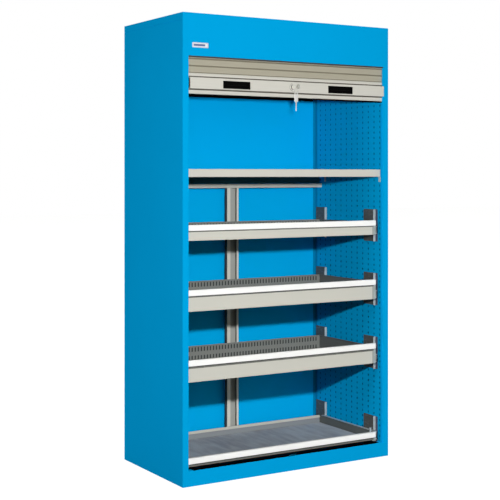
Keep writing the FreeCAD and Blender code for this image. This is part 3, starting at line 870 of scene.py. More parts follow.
def paintJoints(piece):
    # second finish on the narrow strips where slats meet
    shape = slatShape
    piece.data.materials.append(finishes["slatJoint"])
    for face in piece.data.polygons:
        share = ((face.center.z - shape["bottom"]) / shape["pitch"]) % 1.0
        if min(share, 1.0 - share) < shape["jointShare"]:
            face.material_index = 1


def makeSlat(name, front, low):
    # two shallow beads with a groove between them, and a deeper joint at each long edge
    shape = slatShape
    high = low + shape["pitch"] - shape["gap"]
    low += shape["gap"] / 2
    slat = addBlock(name, (-shape["half"], front, low), (shape["half"], front + shape["thickness"], high))
    span = high - low
    for share, depth in shape["profile"][1:-1]:
        cutAt(slat, (0, 0, low + share * span), (0, 0, 1))
    for share, depth in shape["profile"]:
        if depth == 0.0:
            continue
        z = low + share * span
        move = depth * shape["jointDepth"] if depth > 0 else -depth * shape["grooveDepth"]
        shift(slat, "VERT", lambda p: abs(p.co.z - z) < near and p.co.y < front + near, (0, move, 0))
    return slat


def makeCurtain():
    shape = slatShape
    foot = shape["front"] + shape["step"]
    first = makeSlat("curtainSlat", foot, shape["bottom"])
    slats = [first] + [copyOf(first, (0, 0, shape["pitch"] * n)) for n in range(1, shape["slats"])]
    section = joinAll("curtainSection1", slats)
    lean = math.atan(shape["step"] / (shape["pitch"] * shape["slats"]))
    choose(section, "FACE", lambda face: True)
    # each section leans forwards from its foot, so that the nested ones pass each other
    pivot = (0, foot, shape["bottom"])
    bpy.ops.transform.rotate(value=-lean, orient_axis="X", center_override=pivot)
    leave()
    sections = [section]
    for number in range(2, shape["sections"] + 1):
        piece = copyOf(section, (0, shape["step"] * (number - 1), 0))
        piece.name = "curtainSection%d" % number
        sections.append(piece)
    for number, piece in enumerate(sections, 1):
        body = "shutter" if number == 1 else "curtain_%d" % number
        paintJoints(hand(piece, body, "slat", "curtain_section_%d" % number, smooth=8.0))


makeCurtain()
print("curtain made")


lintelBrush = {
    "half": 502.5 * mm, "front": -278.6 * mm, "rear": -272.0 * mm, "lintel": 1773.0 * mm, "gap": 0.1 * mm,
    "drop": 6.0 * mm, "bare": 2.5 * mm, "held": 3.0 * mm, "inset": 1.2 * mm, "tufts": 201,
    "tuftShare": 0.8, "edge": 0.3 * mm,
}


def makeLintelBrush():
    # dust brush under the fascia: a carrier strip and a row of tufts, dark as painted shade along the top of
    # the opening
    shape = lintelBrush
    half = shape["half"]
    low = shape["lintel"] - shape["drop"]
    carrier = addSoftBlock("lintelBrush", (-half, shape["front"], low + shape["bare"]),
                           (half, shape["rear"], shape["lintel"] - shape["gap"]), shape["edge"])
    pitch = 2 * half / shape["tufts"]
    tuft = addBlock("brushTuft", (-half, shape["front"] + shape["inset"], low),
                    (-half + shape["tuftShare"] * pitch, shape["rear"] - shape["inset"], low + shape["held"]))
    repeat(tuft, shape["tufts"], (pitch, 0, 0))
    hand(joinAll("lintelBrush", [carrier, tuft]), "cabinet", "seatDark")


makeLintelBrush()


# bottom bar's trim, seal, grips

barShape = {
    "beadRadius": 1.7 * mm, "beadY": -267.7 * mm, "beadInset": 2.6 * mm, "beadEdge": 0.3 * mm,
    "inlays": ((1632.4 * mm, 1639.4 * mm), (1685.0 * mm, 1690.4 * mm)),
    "inlayFront": -267.9 * mm, "inlayRear": -267.2 * mm, "inlayInset": 1.0 * mm, "inlayEdge": 0.1 * mm,
    "capLow": (-502.4 * mm, -284.0 * mm, 1638.6 * mm), "capHigh": (-497.2 * mm, -268.2 * mm, 1683.4 * mm),
    "capEdge": 0.8 * mm,
}
sealShape = {"round": 1.3 * mm, "cuts": (0.45, 0.65, 0.85), "waist": 0.65, "waistDepth": 0.5 * mm}
gripShape = {
    "inner": 201.0 * mm,
    "offset": -8.3 * mm,
    "width": 133.0 * mm,
    "height": 32.4 * mm,
    "centreZ": 1658.4 * mm,
    "front": -284.0 * mm,
    "depth": 12.0 * mm,
    "wall": 1.5 * mm,
    "proud": 0.4 * mm,
    "mouthRound": 2.5 * mm,
    "floorRound": 2.0 * mm,
    "rim": 3.0 * mm,
    "rimProud": 0.8 * mm,
    "rimRound": 4.0 * mm,
    "rimEdge": 0.3 * mm,
    "ribHeight": 1.6 * mm,
    "ribDepth": 5.0 * mm,
    "ribInset": 1.0 * mm,
    "ribSunk": 0.5 * mm,
    "ribEdge": 0.4 * mm,
}


def makeBarTrim():
    # beads along the bar's long edges, dark inlays beside the band as painted shade of grooves, and a black
    # cap on the band's left end only as painted shadow there
    shape = barShape
    low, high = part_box("bottom_bar")
    beads = []
    for z in (high.z - shape["beadInset"], low.z + shape["beadInset"]):
        ends = ((low.x, shape["beadY"], z), (high.x, shape["beadY"], z))
        beads.append(breakEdges(addRod("barBead", shape["beadRadius"], *ends, 16), shape["beadEdge"]))
    hand(joinAll("barBeads", beads), "shutter", "bar")
    x0 = low.x + shape["inlayInset"]
    x1 = high.x - shape["inlayInset"]
    inlays = [addSoftBlock("barInlay", (x0, shape["inlayFront"], z0), (x1, shape["inlayRear"], z1),
                           shape["inlayEdge"]) for z0, z1 in shape["inlays"]]
    hand(joinAll("barInlays", inlays), "shutter", "barGrooveShade")
    endCap = addSoftBlock("bandEndCap", shape["capLow"], shape["capHigh"], shape["capEdge"], 2)
    hand(endCap, "shutter", "blackPlastic")


def makeSeal():
    shape = sealShape
    low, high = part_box("bottom_seal")
    span = high.z - low.z
    seal = addBlock("bottomSeal", low, high)
    roundEdges(seal, lambda line: reaches(0)(line) and centreOf(line).z < low.z + near, shape["round"], 4)
    for share in shape["cuts"]:
        cutAt(seal, (0, 0, low.z + share * span), (0, 0, 1))
    z = low.z + shape["waist"] * span
    waist = lambda p: abs(p.co.z - z) < near and p.co.y < low.y + near
    shift(seal, "VERT", waist, (0, shape["waistDepth"], 0))
    hand(seal, "shutter", "blackRubberAndShade", "bottom_seal")


def moveGrips(pieces):
    shift(pieces, "VERT", lambda point: True, (gripShape["offset"], 0, 0))
    return pieces


def makeGrips():
    shape = gripShape
    x0 = shape["inner"]
    x1 = x0 + shape["width"]
    z0 = shape["centreZ"] - shape["height"] / 2
    z1 = z0 + shape["height"]
    front = shape["front"]
    back = front + shape["depth"]
    cup = addBlock("gripCups", (x0, front - shape["proud"], z0), (x1, back, z1))
    roundEdges(cup, reaches(1), shape["mouthRound"], 3)
    drop(cup, "FACE", faces(1, -1))
    roundEdges(cup, edgeAt(1, back), shape["floorRound"], 2)
    thicken(cup, shape["wall"])
    rise = shape["ribHeight"] / 2
    ribFront = back - shape["wall"] - shape["ribDepth"]
    rib = addSoftBlock(
        "gripRib", (x0 + shape["ribInset"], ribFront, shape["centreZ"] - rise),
        (x1 - shape["ribInset"], back - shape["ribSunk"], shape["centreZ"] + rise), shape["ribEdge"], 2)
    cups = moveGrips(joinAll("gripCups", withTwin(joinAll("gripCups", [cup, rib]))))
    hand(cups, "shutter", "blackPlastic", "grip_cups")
    rim = shape["rim"]
    edging = addBlock("gripRims", (x0 - rim, front - shape["rimProud"], z0 - rim),
                      (x1 + rim, front, z1 + rim))
    roundEdges(edging, reaches(1), shape["rimRound"], 4)
    breakEdges(hollowOut(edging, rim), shape["rimEdge"], 2)
    hand(moveGrips(joinAll("gripRims", withTwin(edging))), "shutter", "bar")


makeBarTrim()
makeSeal()
makeGrips()
print("bar trim, seal and grips made")


# lock, key, key ring, spare key

lockShape = {
    "x": 6.0 * mm, "z": 1661.0 * mm,
    "bandFront": -284.0 * mm, "barRear": -264.7 * mm,
    "rosetteRadius": 16.0 * mm, "rosetteThickness": 2.5 * mm, "rosetteRound": 1.2 * mm,
    "noseRadius": 11.0 * mm, "noseLength": 6.0 * mm, "noseRound": 1.4 * mm, "noseFoot": 0.5 * mm,
    "barrelRadius": 10.0 * mm, "boreDepth": 3.0 * mm, "clearance": 0.1 * mm,
    "rotorRadius": 7.4 * mm, "rotorProud": 1.0 * mm, "rotorLip": 1.3 * mm, "rotorSink": 0.5 * mm,
    "rotorRear": -264.2 * mm, "rotorEdge": 0.2 * mm, "tailRadius": 4.0 * mm, "tailLength": 5.0 * mm,
    "keyway": (1.7 * mm, 2.5 * mm, 5.0 * mm), "centre": 1.0 * mm, "edgeTilt": 0.8,
}
keyShape = {
    "thickness": 2.5 * mm, "neckHalf": 2.6 * mm, "neckLength": 24.0 * mm, "neckEdge": 0.5 * mm,
    "neckFront": 1.5 * mm, "neckRear": 1.2 * mm,
    "bowRadius": 11.0 * mm, "bowSink": 1.0 * mm, "bowEdge": 0.35 * mm,
    "flankRim": 1.5 * mm, "flankSink": 0.4 * mm, "hole": 2.5 * mm, "holeForward": 5.0 * mm,
}


def offAxis(place):
    # distance from the lock's axis
    return math.hypot(place.x - lockShape["x"], place.z - lockShape["z"])


def endFace(y):
    # test for the face in the middle of a rod's end on the lock's axis
    return lambda face: (abs(face.normal.y) > flat and abs(centreOf(face).y - y) < near
                         and offAxis(centreOf(face)) < lockShape["centre"])


def ringEdge(radius, y):
    # test for the edges of a circle about the lock's axis
    return lambda line: edgeAt(1, y)(line) and all(abs(offAxis(p.co) - radius) < 4 * near for p in line.verts)


def rotorFront():
    lock = lockShape
    return lock["bandFront"] - lock["rosetteThickness"] - lock["noseLength"] - lock["rotorProud"]


def makeLockHousing():
    lock = lockShape
    x, z = lock["x"], lock["z"]
    band = lock["bandFront"]
    front = band - lock["rosetteThickness"]
    rosette, nose = lock["rosetteRadius"], lock["noseRadius"]
    body = addRod("lockHousing", rosette, (x, front, z), (x, band, z), 48)
    choose(body, "FACE", endFace(front))
    bpy.ops.mesh.inset(thickness=rosette - nose)
    push((0, -lock["noseLength"], 0))
    bpy.ops.mesh.inset(thickness=nose - lock["rotorRadius"] - lock["clearance"])
    push((0, lock["boreDepth"], 0))
    leave()
    choose(body, "FACE", endFace(band))
    bpy.ops.mesh.inset(thickness=rosette - lock["barrelRadius"])
    push((0, lock["barRear"] - band, 0))
    leave()
    roundEdges(body, ringEdge(rosette, front), lock["rosetteRound"], 4)
    roundEdges(body, ringEdge(nose, front - lock["noseLength"]), lock["noseRound"], 4)
    roundEdges(body, ringEdge(nose, front), lock["noseFoot"], 2)
    tidyNormals(body)
    hand(body, "shutter", "satinNickel", "lock_housing")
    # darker nickel on the walls that stand off the band: painted shade, chosen by the turn of their faces
    body.data.materials.append(finishes["nickelSideShade"])
    for face in body.data.polygons:
        if abs(face.normal.y) < lock["edgeTilt"]:
            face.material_index = 1


def makeLockRotor():
    lock = lockShape
    x, z = lock["x"], lock["z"]
    front = rotorFront()
    rear = lock["rotorRear"]
    rotor = addRod("lockRotor", lock["rotorRadius"], (x, front, z), (x, rear, z), 40)
    choose(rotor, "FACE", endFace(front))
    bpy.ops.mesh.inset(thickness=lock["rotorLip"])
    push((0, lock["rotorSink"], 0))
    leave()
    choose(rotor, "FACE", endFace(rear))
    bpy.ops.mesh.inset(thickness=lock["rotorRadius"] - lock["tailRadius"])
    push((0, lock["tailLength"], 0))
    leave()
    half, deep, rise = lock["keyway"]
    middleY = front + lock["rotorSink"]
    keyway = addBlock("keyway", (x - half, middleY - deep, z - rise), (x + half, middleY + deep, z + rise))
    carve(rotor, keyway)
    breakEdges(rotor, lock["rotorEdge"])
    hand(rotor, "lock", "satinNickel", "lock_rotor")


def makeKey():
    shape = keyShape
    x, z = lockShape["x"], lockShape["z"]
    y1 = rotorFront()
    y0 = y1 - shape["neckLength"]
    half = shape["thickness"] / 2
    bowY = y0 - shape["bowRadius"] + shape["bowSink"]
    bow = addRod("lockKey", shape["bowRadius"], (x - half, bowY, z), (x + half, bowY, z), 40)
    choose(bow, "FACE", lambda face: abs(face.normal.x) > flat)
    bpy.ops.mesh.inset(thickness=shape["flankRim"])
    leave()
    for side in (-1, 1):
        flank = lambda face: side * face.normal.x > flat and len(face.verts) > 8
        shift(bow, "FACE", flank, (-side * shape["flankSink"], 0, 0))
    holeY = bowY - shape["holeForward"]
    reach = shape["thickness"]
    carve(bow, addRod("bowHole", shape["hole"], (x - reach, holeY, z), (x + reach, holeY, z), 24))
    neck = addSoftBlock("keyNeck", (x - half, y0 - shape["neckFront"], z - shape["neckHalf"]),
                        (x + half, y1 + shape["neckRear"], z + shape["neckHalf"]), shape["neckEdge"], 2)
    breakEdges(bow, shape["bowEdge"], 2)
    hand(joinAll("lockKey", [bow, neck]), "lock", "nickel", "lock_key")


ringShape = {
    "radius": 16.0 * mm, "wire": 0.43 * mm, "wireSides": 10, "steps": 72,
    "turnPitch": 0.88 * mm, "gap": 0.5, "climb": 1.69 * mm,
    "place": 17.0 * mm, "rise": -11.8 * mm, "turn": 25.0, "spareTurn": -15.0,
}
spareShape = {
    "half": 8.6 * mm, "bow": 44.0 * mm, "bowRound": 7.6 * mm, "bowEdge": 0.35 * mm, "thickness": 2.0 * mm,
    "hole": 3.5 * mm, "holeDrop": 3.5 * mm, "bottom": 1556.4 * mm, "blade": 38.0 * mm, "bladeHalf": 2.3 * mm,
    "bladeShare": 0.8, "bladeRoot": 4.0 * mm, "bladeEdge": 0.2 * mm, "toothed": 2.0 * mm, "tip": 3.0 * mm,
    "notches": (0.0, 1.1 * mm, 0.4 * mm, 1.5 * mm, 0.8 * mm, 1.3 * mm, 0.2 * mm), "notchedShare": 0.8,
}


def ringCentre():
    shape = ringShape
    return Vector((lockShape["x"], rotorFront() - shape["place"], lockShape["z"] + shape["rise"]))


def hangAt(piece, place, turn):
    # turns a finished shape about its own origin and sets it down
    piece.rotation_euler = turn
    piece.location = place
    return settle(piece)


def makeKeyRing():
    # two turns of wire, wound side by side
    shape = ringShape
    bpy.ops.object.select_all(action="DESELECT")
    bpy.ops.mesh.primitive_circle_add(vertices=shape["wireSides"], radius=shape["wire"],
                                      location=(shape["radius"], 0, 0), rotation=(math.pi / 2, 0, 0))
    wire = settle(bpy.context.object, "keyRing")
    finishWith(wire, "SCREW", axis="Z", angle=4 * math.pi - shape["gap"], screw_offset=shape["climb"],
               steps=shape["steps"], render_steps=shape["steps"], iterations=1)
    choose(wire, "EDGE", lambda line: line.is_boundary)
    bpy.ops.mesh.fill_holes(sides=0)
    leave()
    hangAt(wire, (0, 0, -shape["turnPitch"]), (0, 0, 0))
    hangAt(wire, ringCentre(), (math.pi / 2, 0, math.radians(shape["turn"])))
    tidyNormals(wire)
    hand(wire, "key_set", "nickel", "key_ring", smooth=60.0)


def makeSpareKey():
    shape = spareShape
    centre = ringCentre()
    half = shape["thickness"] / 2
    bladeTop = shape["bottom"] + shape["blade"]
    x = centre.x
    bow = addBlock("spareKey", (x - shape["half"], centre.y - half, bladeTop),
                   (x + shape["half"], centre.y + half, bladeTop + shape["bow"]))
    roundEdges(bow, reaches(1), shape["bowRound"], 6)
    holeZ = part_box("spare_key")[1].z - shape["holeDrop"] - shape["hole"]
    reach = shape["thickness"]
    ends = ((x, centre.y - reach, holeZ), (x, centre.y + reach, holeZ))
    carve(bow, addRod("spareHole", shape["hole"], *ends, 28))
    breakEdges(bow, shape["bowEdge"], 2)
    thin = half * shape["bladeShare"]
    low = shape["bottom"]
    blade = addBlock("spareBlade", (x - shape["bladeHalf"], centre.y - thin, low),
                     (x + shape["bladeHalf"], centre.y + thin, bladeTop + shape["bladeRoot"]))
    pitch = shape["blade"] * shape["notchedShare"] / len(shape["notches"])
    for number in range(2 * len(shape["notches"])):
        cutAt(blade, (0, 0, low + (number + 1) * pitch / 2), (0, 0, 1))
    toothed = x + shape["toothed"]
    for number, depth in enumerate(shape["notches"]):
        z = low + (2 * number + 1) * pitch / 2
        shift(blade, "VERT", lambda p: abs(p.co.z - z) < 2 * near and p.co.x > toothed, (-depth, 0, 0))
    shift(blade, "VERT", lambda p: p.co.z < low + near and p.co.x > toothed, (-shape["tip"], 0, 0))
    breakEdges(blade, shape["bladeEdge"])
    key = hangAt(joinAll("spareKey", [bow, blade]), -centre, (0, 0, 0))
    hangAt(key, centre, (0, 0, math.radians(ringShape["spareTurn"])))
    hand(key, "key_set", "nickel", "spare_key")


makeLockHousing()
makeLockRotor()
makeKey()
makeKeyRing()
makeSpareKey()
print("lock and keys made")


# dark strip behind the shelf as painted shade, and the brackets that carry the slides

shelfApron = {
    "half": 484.0 * mm, "low": 1241.0 * mm, "drop": 6.0 * mm, "front": 201.3 * mm, "rear": 203.6 * mm,
    "edge": 0.5 * mm,
}


def makeShelfShadeApron():
    # dark strip behind the shelf: painted shade under it
    shape = shelfApron
    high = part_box("fixed_shelf")[1].z - shape["drop"]
    apron = addSoftBlock("shelfApron", (-shape["half"], shape["front"], shape["low"]),
                         (shape["half"], shape["rear"], high), shape["edge"], 2)
    hand(apron, "cabinet", "shelfShade")


makeShelfShadeApron()

hangerShape = {
    "innerX": 504.5 * mm, "wallX": 506.0 * mm, "sheet": 1.5 * mm, "height": 147.6 * mm, "corner": 5.0 * mm,
    "fronts": (-218.7 * mm, 171.0 * mm), "backs": (-127.4 * mm, 262.3 * mm), "edge": 0.3 * mm,
    "flange": 12.0 * mm, "flangeCorner": 3.0 * mm, "notchHalf": 19.5 * mm, "slideRise": 20.0 * mm,
    "hookMargin": 12.8 * mm, "hookColumns": ((1, 2), (10, 11)), "overlap": 0.2 * mm,
}
hookShape = {
    "half": 2.5 * mm, "below": 5.0 * mm, "above": 2.0 * mm, "reach": 5.2 * mm, "neck": 1.5 * mm,
    "tail": 4.0 * mm, "edge": 0.4 * mm,
}
flangeShadowShape = {"inner": 504.7 * mm, "front": -233.0 * mm, "gap": 0.5 * mm, "edge": 0.3 * mm}
stopShape = {"inner": 502.0 * mm, "outer": 504.5 * mm, "half": 18.0 * mm, "edge": 0.25 * mm}
capShape = {"inner": 499.2 * mm, "outer": 501.8 * mm, "half": 16.4 * mm, "edge": 0.2 * mm}
endThickness = 0.8 * mm
drawerShape = {
    "bottoms": (1008.0 * mm, 714.0 * mm, 421.0 * mm, 67.0 * mm),
    "sides": (56.0 * mm, 80.0 * mm, 76.0 * mm, 39.0 * mm),
    "fronts": (66.0 * mm, 90.0 * mm, 92.0 * mm, 41.0 * mm),
    "hangerLows": (975.4 * mm, 682.6 * mm, 389.8 * mm, 23.8 * mm),
    "half": 486.0 * mm,
    "front": -244.0 * mm,
    "rear": 205.0 * mm,
    "sheet": 1.2 * mm,
}


def makeHook(x, y, z):
    # tongue through the wall's hole with a tail behind it
    shape = hookShape
    half = shape["half"]
    neck = x + shape["neck"]
    hook = addBlock("hook", (x, y - half, z - shape["below"]),
                    (x + shape["reach"], y + half, z + shape["above"]))
    cutAt(hook, (neck, 0, 0), (1, 0, 0))
    grow(hook, "FACE", lambda face: face.normal.z < -flat and centreOf(face).x > neck, (0, 0, -shape["tail"]))
    return breakEdges(hook, shape["edge"])


def makeHanger(drawer, place):
    # a plate on the wall with its hooks, and the two flanges above and below the slide
    shape = hangerShape
    low = drawerShape["hangerLows"][drawer]
    high = low + shape["height"]
    y0 = shape["fronts"][place]
    y1 = shape["backs"][place]
    x = shape["innerX"]
    plate = addBlock("hangerPlate", (x, y0, low), (shape["wallX"], y1, high))
    roundEdges(plate, lambda line: reaches(0)(line) and centreOf(line).y > y1 - near, shape["corner"], 4)
    plates = [breakEdges(plate, shape["edge"])]
    for column in shape["hookColumns"][place]:
        y = wallGrid["firstColumn"] + column * wallGrid["columnPitch"]
        for z in (low + shape["hookMargin"], high - shape["hookMargin"]):
            plates.append(makeHook(shape["wallX"] - shape["overlap"], y, z))
    flanges = []
    slide = drawerShape["bottoms"][drawer] + shape["slideRise"]
    x0 = x - shape["flange"]
    for z0, z1, outer in ((low, slide - shape["notchHalf"], low), (slide + shape["notchHalf"], high, high)):
        flange = addBlock("hangerFlange", (x0, y0, z0), (x + shape["overlap"], y0 + shape["sheet"], z1))
        tip = Vector((x0, y0, outer))
        corner = lambda line: reaches(1)(line) and (centreOf(line) - tip).length < shape["sheet"]
        roundEdges(flange, corner, shape["flangeCorner"], 3)
        flanges.append(breakEdges(flange, shape["edge"]))
    return plates, flanges


def makeFlangeShadows():
    # dark plates on the walls in front of the front hangers: painted shadow of the flanges
    shape = flangeShadowShape
    x = hangerShape["wallX"]
    rear = hangerShape["fronts"][0] - shape["gap"]
    feet = []
    for low in drawerShape["hangerLows"]:
        high = low + hangerShape["height"]
        corner = (shape["inner"], shape["front"], low)
        feet += withTwin(addSoftBlock("hangerFoot", corner, (x, rear, high), shape["edge"]))
    hand(joinAll("hangerFeet", feet), "cabinet", "flangeShadowGrey")


def addSlideEnd(name, shape, middleZ):
    # thin end piece in front of both slides of a drawer
    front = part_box("cabinet_slides")[0].y
    piece = addSoftBlock(name, (shape["inner"], front - endThickness, middleZ - shape["half"]),
                         (shape["outer"], front, middleZ + shape["half"]), shape["edge"])
    return withTwin(piece)


def makeSlideStops():
    # end stops on the walls, and caps that ride with the middle members
    stops = []
    for number, bottom in enumerate(drawerShape["bottoms"], 1):
        rise = bottom + hangerShape["slideRise"]
        stops += addSlideEnd("slideStop", stopShape, rise)
        caps = joinAll("slide%dCaps" % number, addSlideEnd("slideCap", capShape, rise))
        hand(caps, "slide_%d" % number, "blackPlastic")
    hand(joinAll("slideStops", stops), "cabinet", "blackPlastic")


def makeHangers():
    plates = []
    flanges = []
    for drawer in range(drawerCount):
        for place in range(2):
            newPlates, newFlanges = makeHanger(drawer, place)
            plates += newPlates
            flanges += newFlanges
    plates += [mirrored(piece) for piece in plates]
    flanges += [mirrored(piece) for piece in flanges]
    hand(joinAll("hangerPlates", plates), "cabinet", "darkZinc", "slide_brackets")
    hand(joinAll("hangerFlanges", flanges), "cabinet", "zinc")


makeHangers()
makeFlangeShadows()
makeSlideStops()
print("apron, hangers and stops made")


# drawers

slotShape = {
    "pitch": 16.0 * mm, "width": 7.5 * mm, "height": 21.0 * mm, "corner": 2.2 * mm, "count": 59,
    "rows": (1, 2, 2, 0), "firstRow": (38.5 * mm, 24.5 * mm, 20.5 * mm, 0.0),
    "rowPitch": 38.0 * mm, "loneRowPitch": 30.0 * mm,
}
hemShape = {"depth": 5.0 * mm, "fall": 4.0 * mm, "step": 0.3 * mm, "edge": 0.3 * mm}
foldShape = {"depth": 6.0 * mm, "fall": 9.0 * mm, "edge": 0.3 * mm}
handleShape = {
    "leftExtra": 9.0 * mm, "wall": 1.5 * mm, "round": 3.2 * mm, "endRound": 1.6 * mm, "lip": 4.0 * mm,
    "lipCut": 4.2 * mm,
}
handleShadowShape = {
    "heights": (5.0 * mm, 7.0 * mm, 10.5 * mm, 12.0 * mm), "line": (0.0, 3.0 * mm, 4.0 * mm, 4.5 * mm),
    "left": -484.0 * mm, "right": 474.0 * mm, "proud": 0.4 * mm, "edge": 0.15 * mm,
}
faceEndShape = {
    "from": 466.5 * mm, "middle": 474.5 * mm, "to": 484.6 * mm, "proud": 0.35 * mm, "foot": 0.3 * mm,
    "head": 1.0 * mm, "edge": 0.12 * mm,
}
rearShape = {
    "wallInset": 1.3 * mm, "wallRise": 0.2 * mm, "inset": 2.0 * mm, "rise": 1.0 * mm, "gap": 0.05 * mm,
    "thickness": 0.8 * mm, "rimHeight": 12.0 * mm, "rimGap": 1.5 * mm, "edge": 0.15 * mm,
}


def makeTrayPan(drawer, name):
    # floor and the two sides, each side with a hem folded inwards
    shape = drawerShape
    z0 = shape["bottoms"][drawer]
    z1 = z0 + shape["sides"][drawer]
    half = shape["half"]
    y0 = shape["front"] + shape["sheet"]
    floor = addSheet(name, "-z", (-half, y0, z0), (half, shape["rear"], z0))
    for side in (-1, 1):
        edge = side * half
        choose(floor, "EDGE", edgeAt(0, edge))
        push((0, 0, z1 - z0))
        push((-side * hemShape["depth"], 0, 0))
        push((0, 0, -hemShape["fall"]))
        leave()
    tidyNormals(floor)
    if max(floor.data.polygons, key=lambda face: face.area).normal.z > 0:
        choose(floor, "FACE", lambda face: True)
        bpy.ops.mesh.flip_normals()
        leave()
    thicken(floor, shape["sheet"])
    return breakEdges(floor, hemShape["edge"])


def makeTrayRear(drawer, name):
    # slotted rear wall with its hem
    shape = drawerShape
    slots = slotShape
    bottom = shape["bottoms"][drawer]
    z0 = bottom + rearShape["wallRise"]
    z1 = bottom + shape["sides"][drawer] - hemShape["step"]
    half = shape["half"] - rearShape["wallInset"]
    rear = shape["rear"]
    rows = slots["rows"][drawer]
    if rows:
        first = -(slots["count"] - 1) / 2 * slots["pitch"]
        place = (first, rear, bottom + slots["firstRow"][drawer])
        pitch = (slots["pitch"], slots["rowPitch" if rows > 1 else "loneRowPitch"])
        wall = addPiercedCell(name, "+y", place, pitch, (slots["width"], slots["height"]), slots["corner"])
        repeat(wall, slots["count"], (slots["pitch"], 0, 0))
        if rows > 1:
            repeat(wall, rows, (0, 0, slots["rowPitch"]))
        fitSheet(wall, 0, -half, half)
        fitSheet(wall, 2, z0, z1)
    else:
        wall = addSheet(name, "+y", (-half, rear, z0), (half, rear, z1))
    grow(wall, "EDGE", edgeAt(2, z1), (0, -hemShape["depth"], 0), (0, 0, -hemShape["fall"]))
    return thicken(wall, shape["sheet"])


def makeTrayFace(drawer, name):
    # painted front with its top edge folded back and down
    shape = drawerShape
    z0 = shape["bottoms"][drawer]
    z1 = z0 + shape["fronts"][drawer]
    half = shape["half"]
    front = shape["front"]
    face = addSheet(name, "-y", (-half, front, z0), (half, front, z1))
    grow(face, "EDGE", edgeAt(2, z1), (0, foldShape["depth"], 0), (0, 0, -foldShape["fall"]))
    thicken(face, shape["sheet"])
    return breakEdges(face, foldShape["edge"])


def makeHandle(drawer, name):
    # rounded strip, hollow behind, with a lip under its front
    shape = handleShape
    low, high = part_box("drawer_%d_handle" % (drawer + 1))
    low.x -= shape["leftExtra"]
    grip = addBlock(name, low, high)
    lengthwise = reaches(0)
    roundEdges(grip, lambda line: lengthwise(line) and centreOf(line).y < low.y + near, shape["round"], 5)
    atEnd = edgeAt(0, high.x)
    ends = lambda line: atEnd(line) and centreOf(line).y < high.y - near
    roundEdges(grip, ends, shape["endRound"], 3)
    cutAt(grip, (0, low.y + shape["lipCut"], 0), (0, 1, 0))
    drop(grip, "FACE", lambda face: face.normal.y > flat
         or (face.normal.z < -flat and centreOf(face).y > low.y + shape["lip"]))
    return thicken(grip, shape["wall"])


def makeHandleShadows(drawer, body):
    # grey band under each handle as painted shadow of the handle, with a darker painted shadow line at its
    # top
    shape = handleShadowShape
    front = drawerShape["front"]
    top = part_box(body + "_handle")[0].z
    bands = [("Seat", "handleShadowGrey", shape["heights"][drawer], shape["proud"])]
    if drawer == drawerCount - 1:
        # the bottom drawer's face below the handle also gets a black band: painted shadow at its foot
        bands.append(("Base", "blackRubberAndShade", top - drawerShape["bottoms"][drawer], shape["proud"] / 2))
    if shape["line"][drawer]:
        bands.append(("SeatLine", "seatDark", shape["line"][drawer], 2 * shape["proud"]))
    for word, finish, height, proud in bands:
        band = addSoftBlock("drawer%d%s" % (drawer + 1, word), (shape["left"], front - proud, top - height),
                            (shape["right"], front, top), shape["edge"])
        hand(band, body, finish)


def makeFaceEnds(drawer, body):
    # darker grey strip at the end of the front and the zinc strip beside it
    shape = faceEndShape
    y = drawerShape["front"]
    z0 = drawerShape["bottoms"][drawer] + shape["foot"]
    z1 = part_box(body + "_handle")[0].z + shape["head"]
    for word, finish, x0, x1 in (("FaceFold", "postGrey", shape["from"], shape["middle"]),
                                 ("FaceStrip", "stripZinc", shape["middle"], shape["to"])):
        name = "drawer%d%s" % (drawer + 1, word)
        hand(addSoftBlock(name, (x0, y - shape["proud"], z0), (x1, y, z1), shape["edge"]), body, finish)


def makeRearBacking(drawer, body):
    # dark sheet behind the slots, painted shade seen through them, or a pale rim on the wall that has none
    shape = rearShape
    half = drawerShape["half"] - shape["inset"]
    bottom = drawerShape["bottoms"][drawer]
    z0 = bottom + shape["rise"]
    z1 = bottom + drawerShape["sides"][drawer]
    rear = drawerShape["rear"]
    finish = "seatDark"
    if slotShape["rows"][drawer]:
        low = (-half, rear + shape["gap"], z0)
        high = (half, rear + shape["thickness"], z1 - shape["rise"])
    else:
        front = rear - hemShape["depth"] - shape["rimGap"]
        low = (-half, front, z1 - shape["rimHeight"])
        high = (half, front + shape["thickness"], z1)
        finish = "railGrey"
    hand(addSoftBlock("drawer%dRearBacking" % (drawer + 1), low, high, shape["edge"]), body, finish)


matTabs = {
    "inner": 471.5 * mm, "outer": 480.6 * mm, "front": -218.5 * mm, "sheet": 1.4 * mm, "top": 122.5 * mm,
    "corner": 2.5 * mm, "edge": 0.25 * mm,
}


def makeMatTabs():
    # upright tabs at the front corners of the bottom drawer
    shape = matTabs
    floor = drawerShape["bottoms"][-1] + drawerShape["sheet"]
    tab = addBlock("drawer4Tabs", (shape["inner"], shape["front"], floor),
                   (shape["outer"], shape["front"] + shape["sheet"], shape["top"]))
    atTop = lambda line: centreOf(line).z > shape["top"] - near and reaches(1)(line)
    roundEdges(tab, atTop, shape["corner"], 3)
    breakEdges(tab, shape["edge"])
    hand(joinAll("drawer4Tabs", withTwin(tab)), "drawer_4", "zinc")


makeMatTabs()

for drawer in range(drawerCount):
    body = "drawer_%d" % (drawer + 1)
    tray = body + "_tray"
    pan = makeTrayPan(drawer, "drawer%dPan" % (drawer + 1))
    rearWall = makeTrayRear(drawer, "drawer%dRearWall" % (drawer + 1))
    face = makeTrayFace(drawer, "drawer%dFace" % (drawer + 1))
    handle = makeHandle(drawer, "drawer%dHandle" % (drawer + 1))
    hand(pan, body, "trayDark", tray)
    hand(rearWall, body, "trayBlueGrey" if drawer == 3 else "trayGrey")
    hand(face, body, "beige")
    hand(handle, body, "white", body + "_handle")
    makeHandleShadows(drawer, body)
    makeFaceEnds(drawer, body)
    makeRearBacking(drawer, body)
print("drawers made")

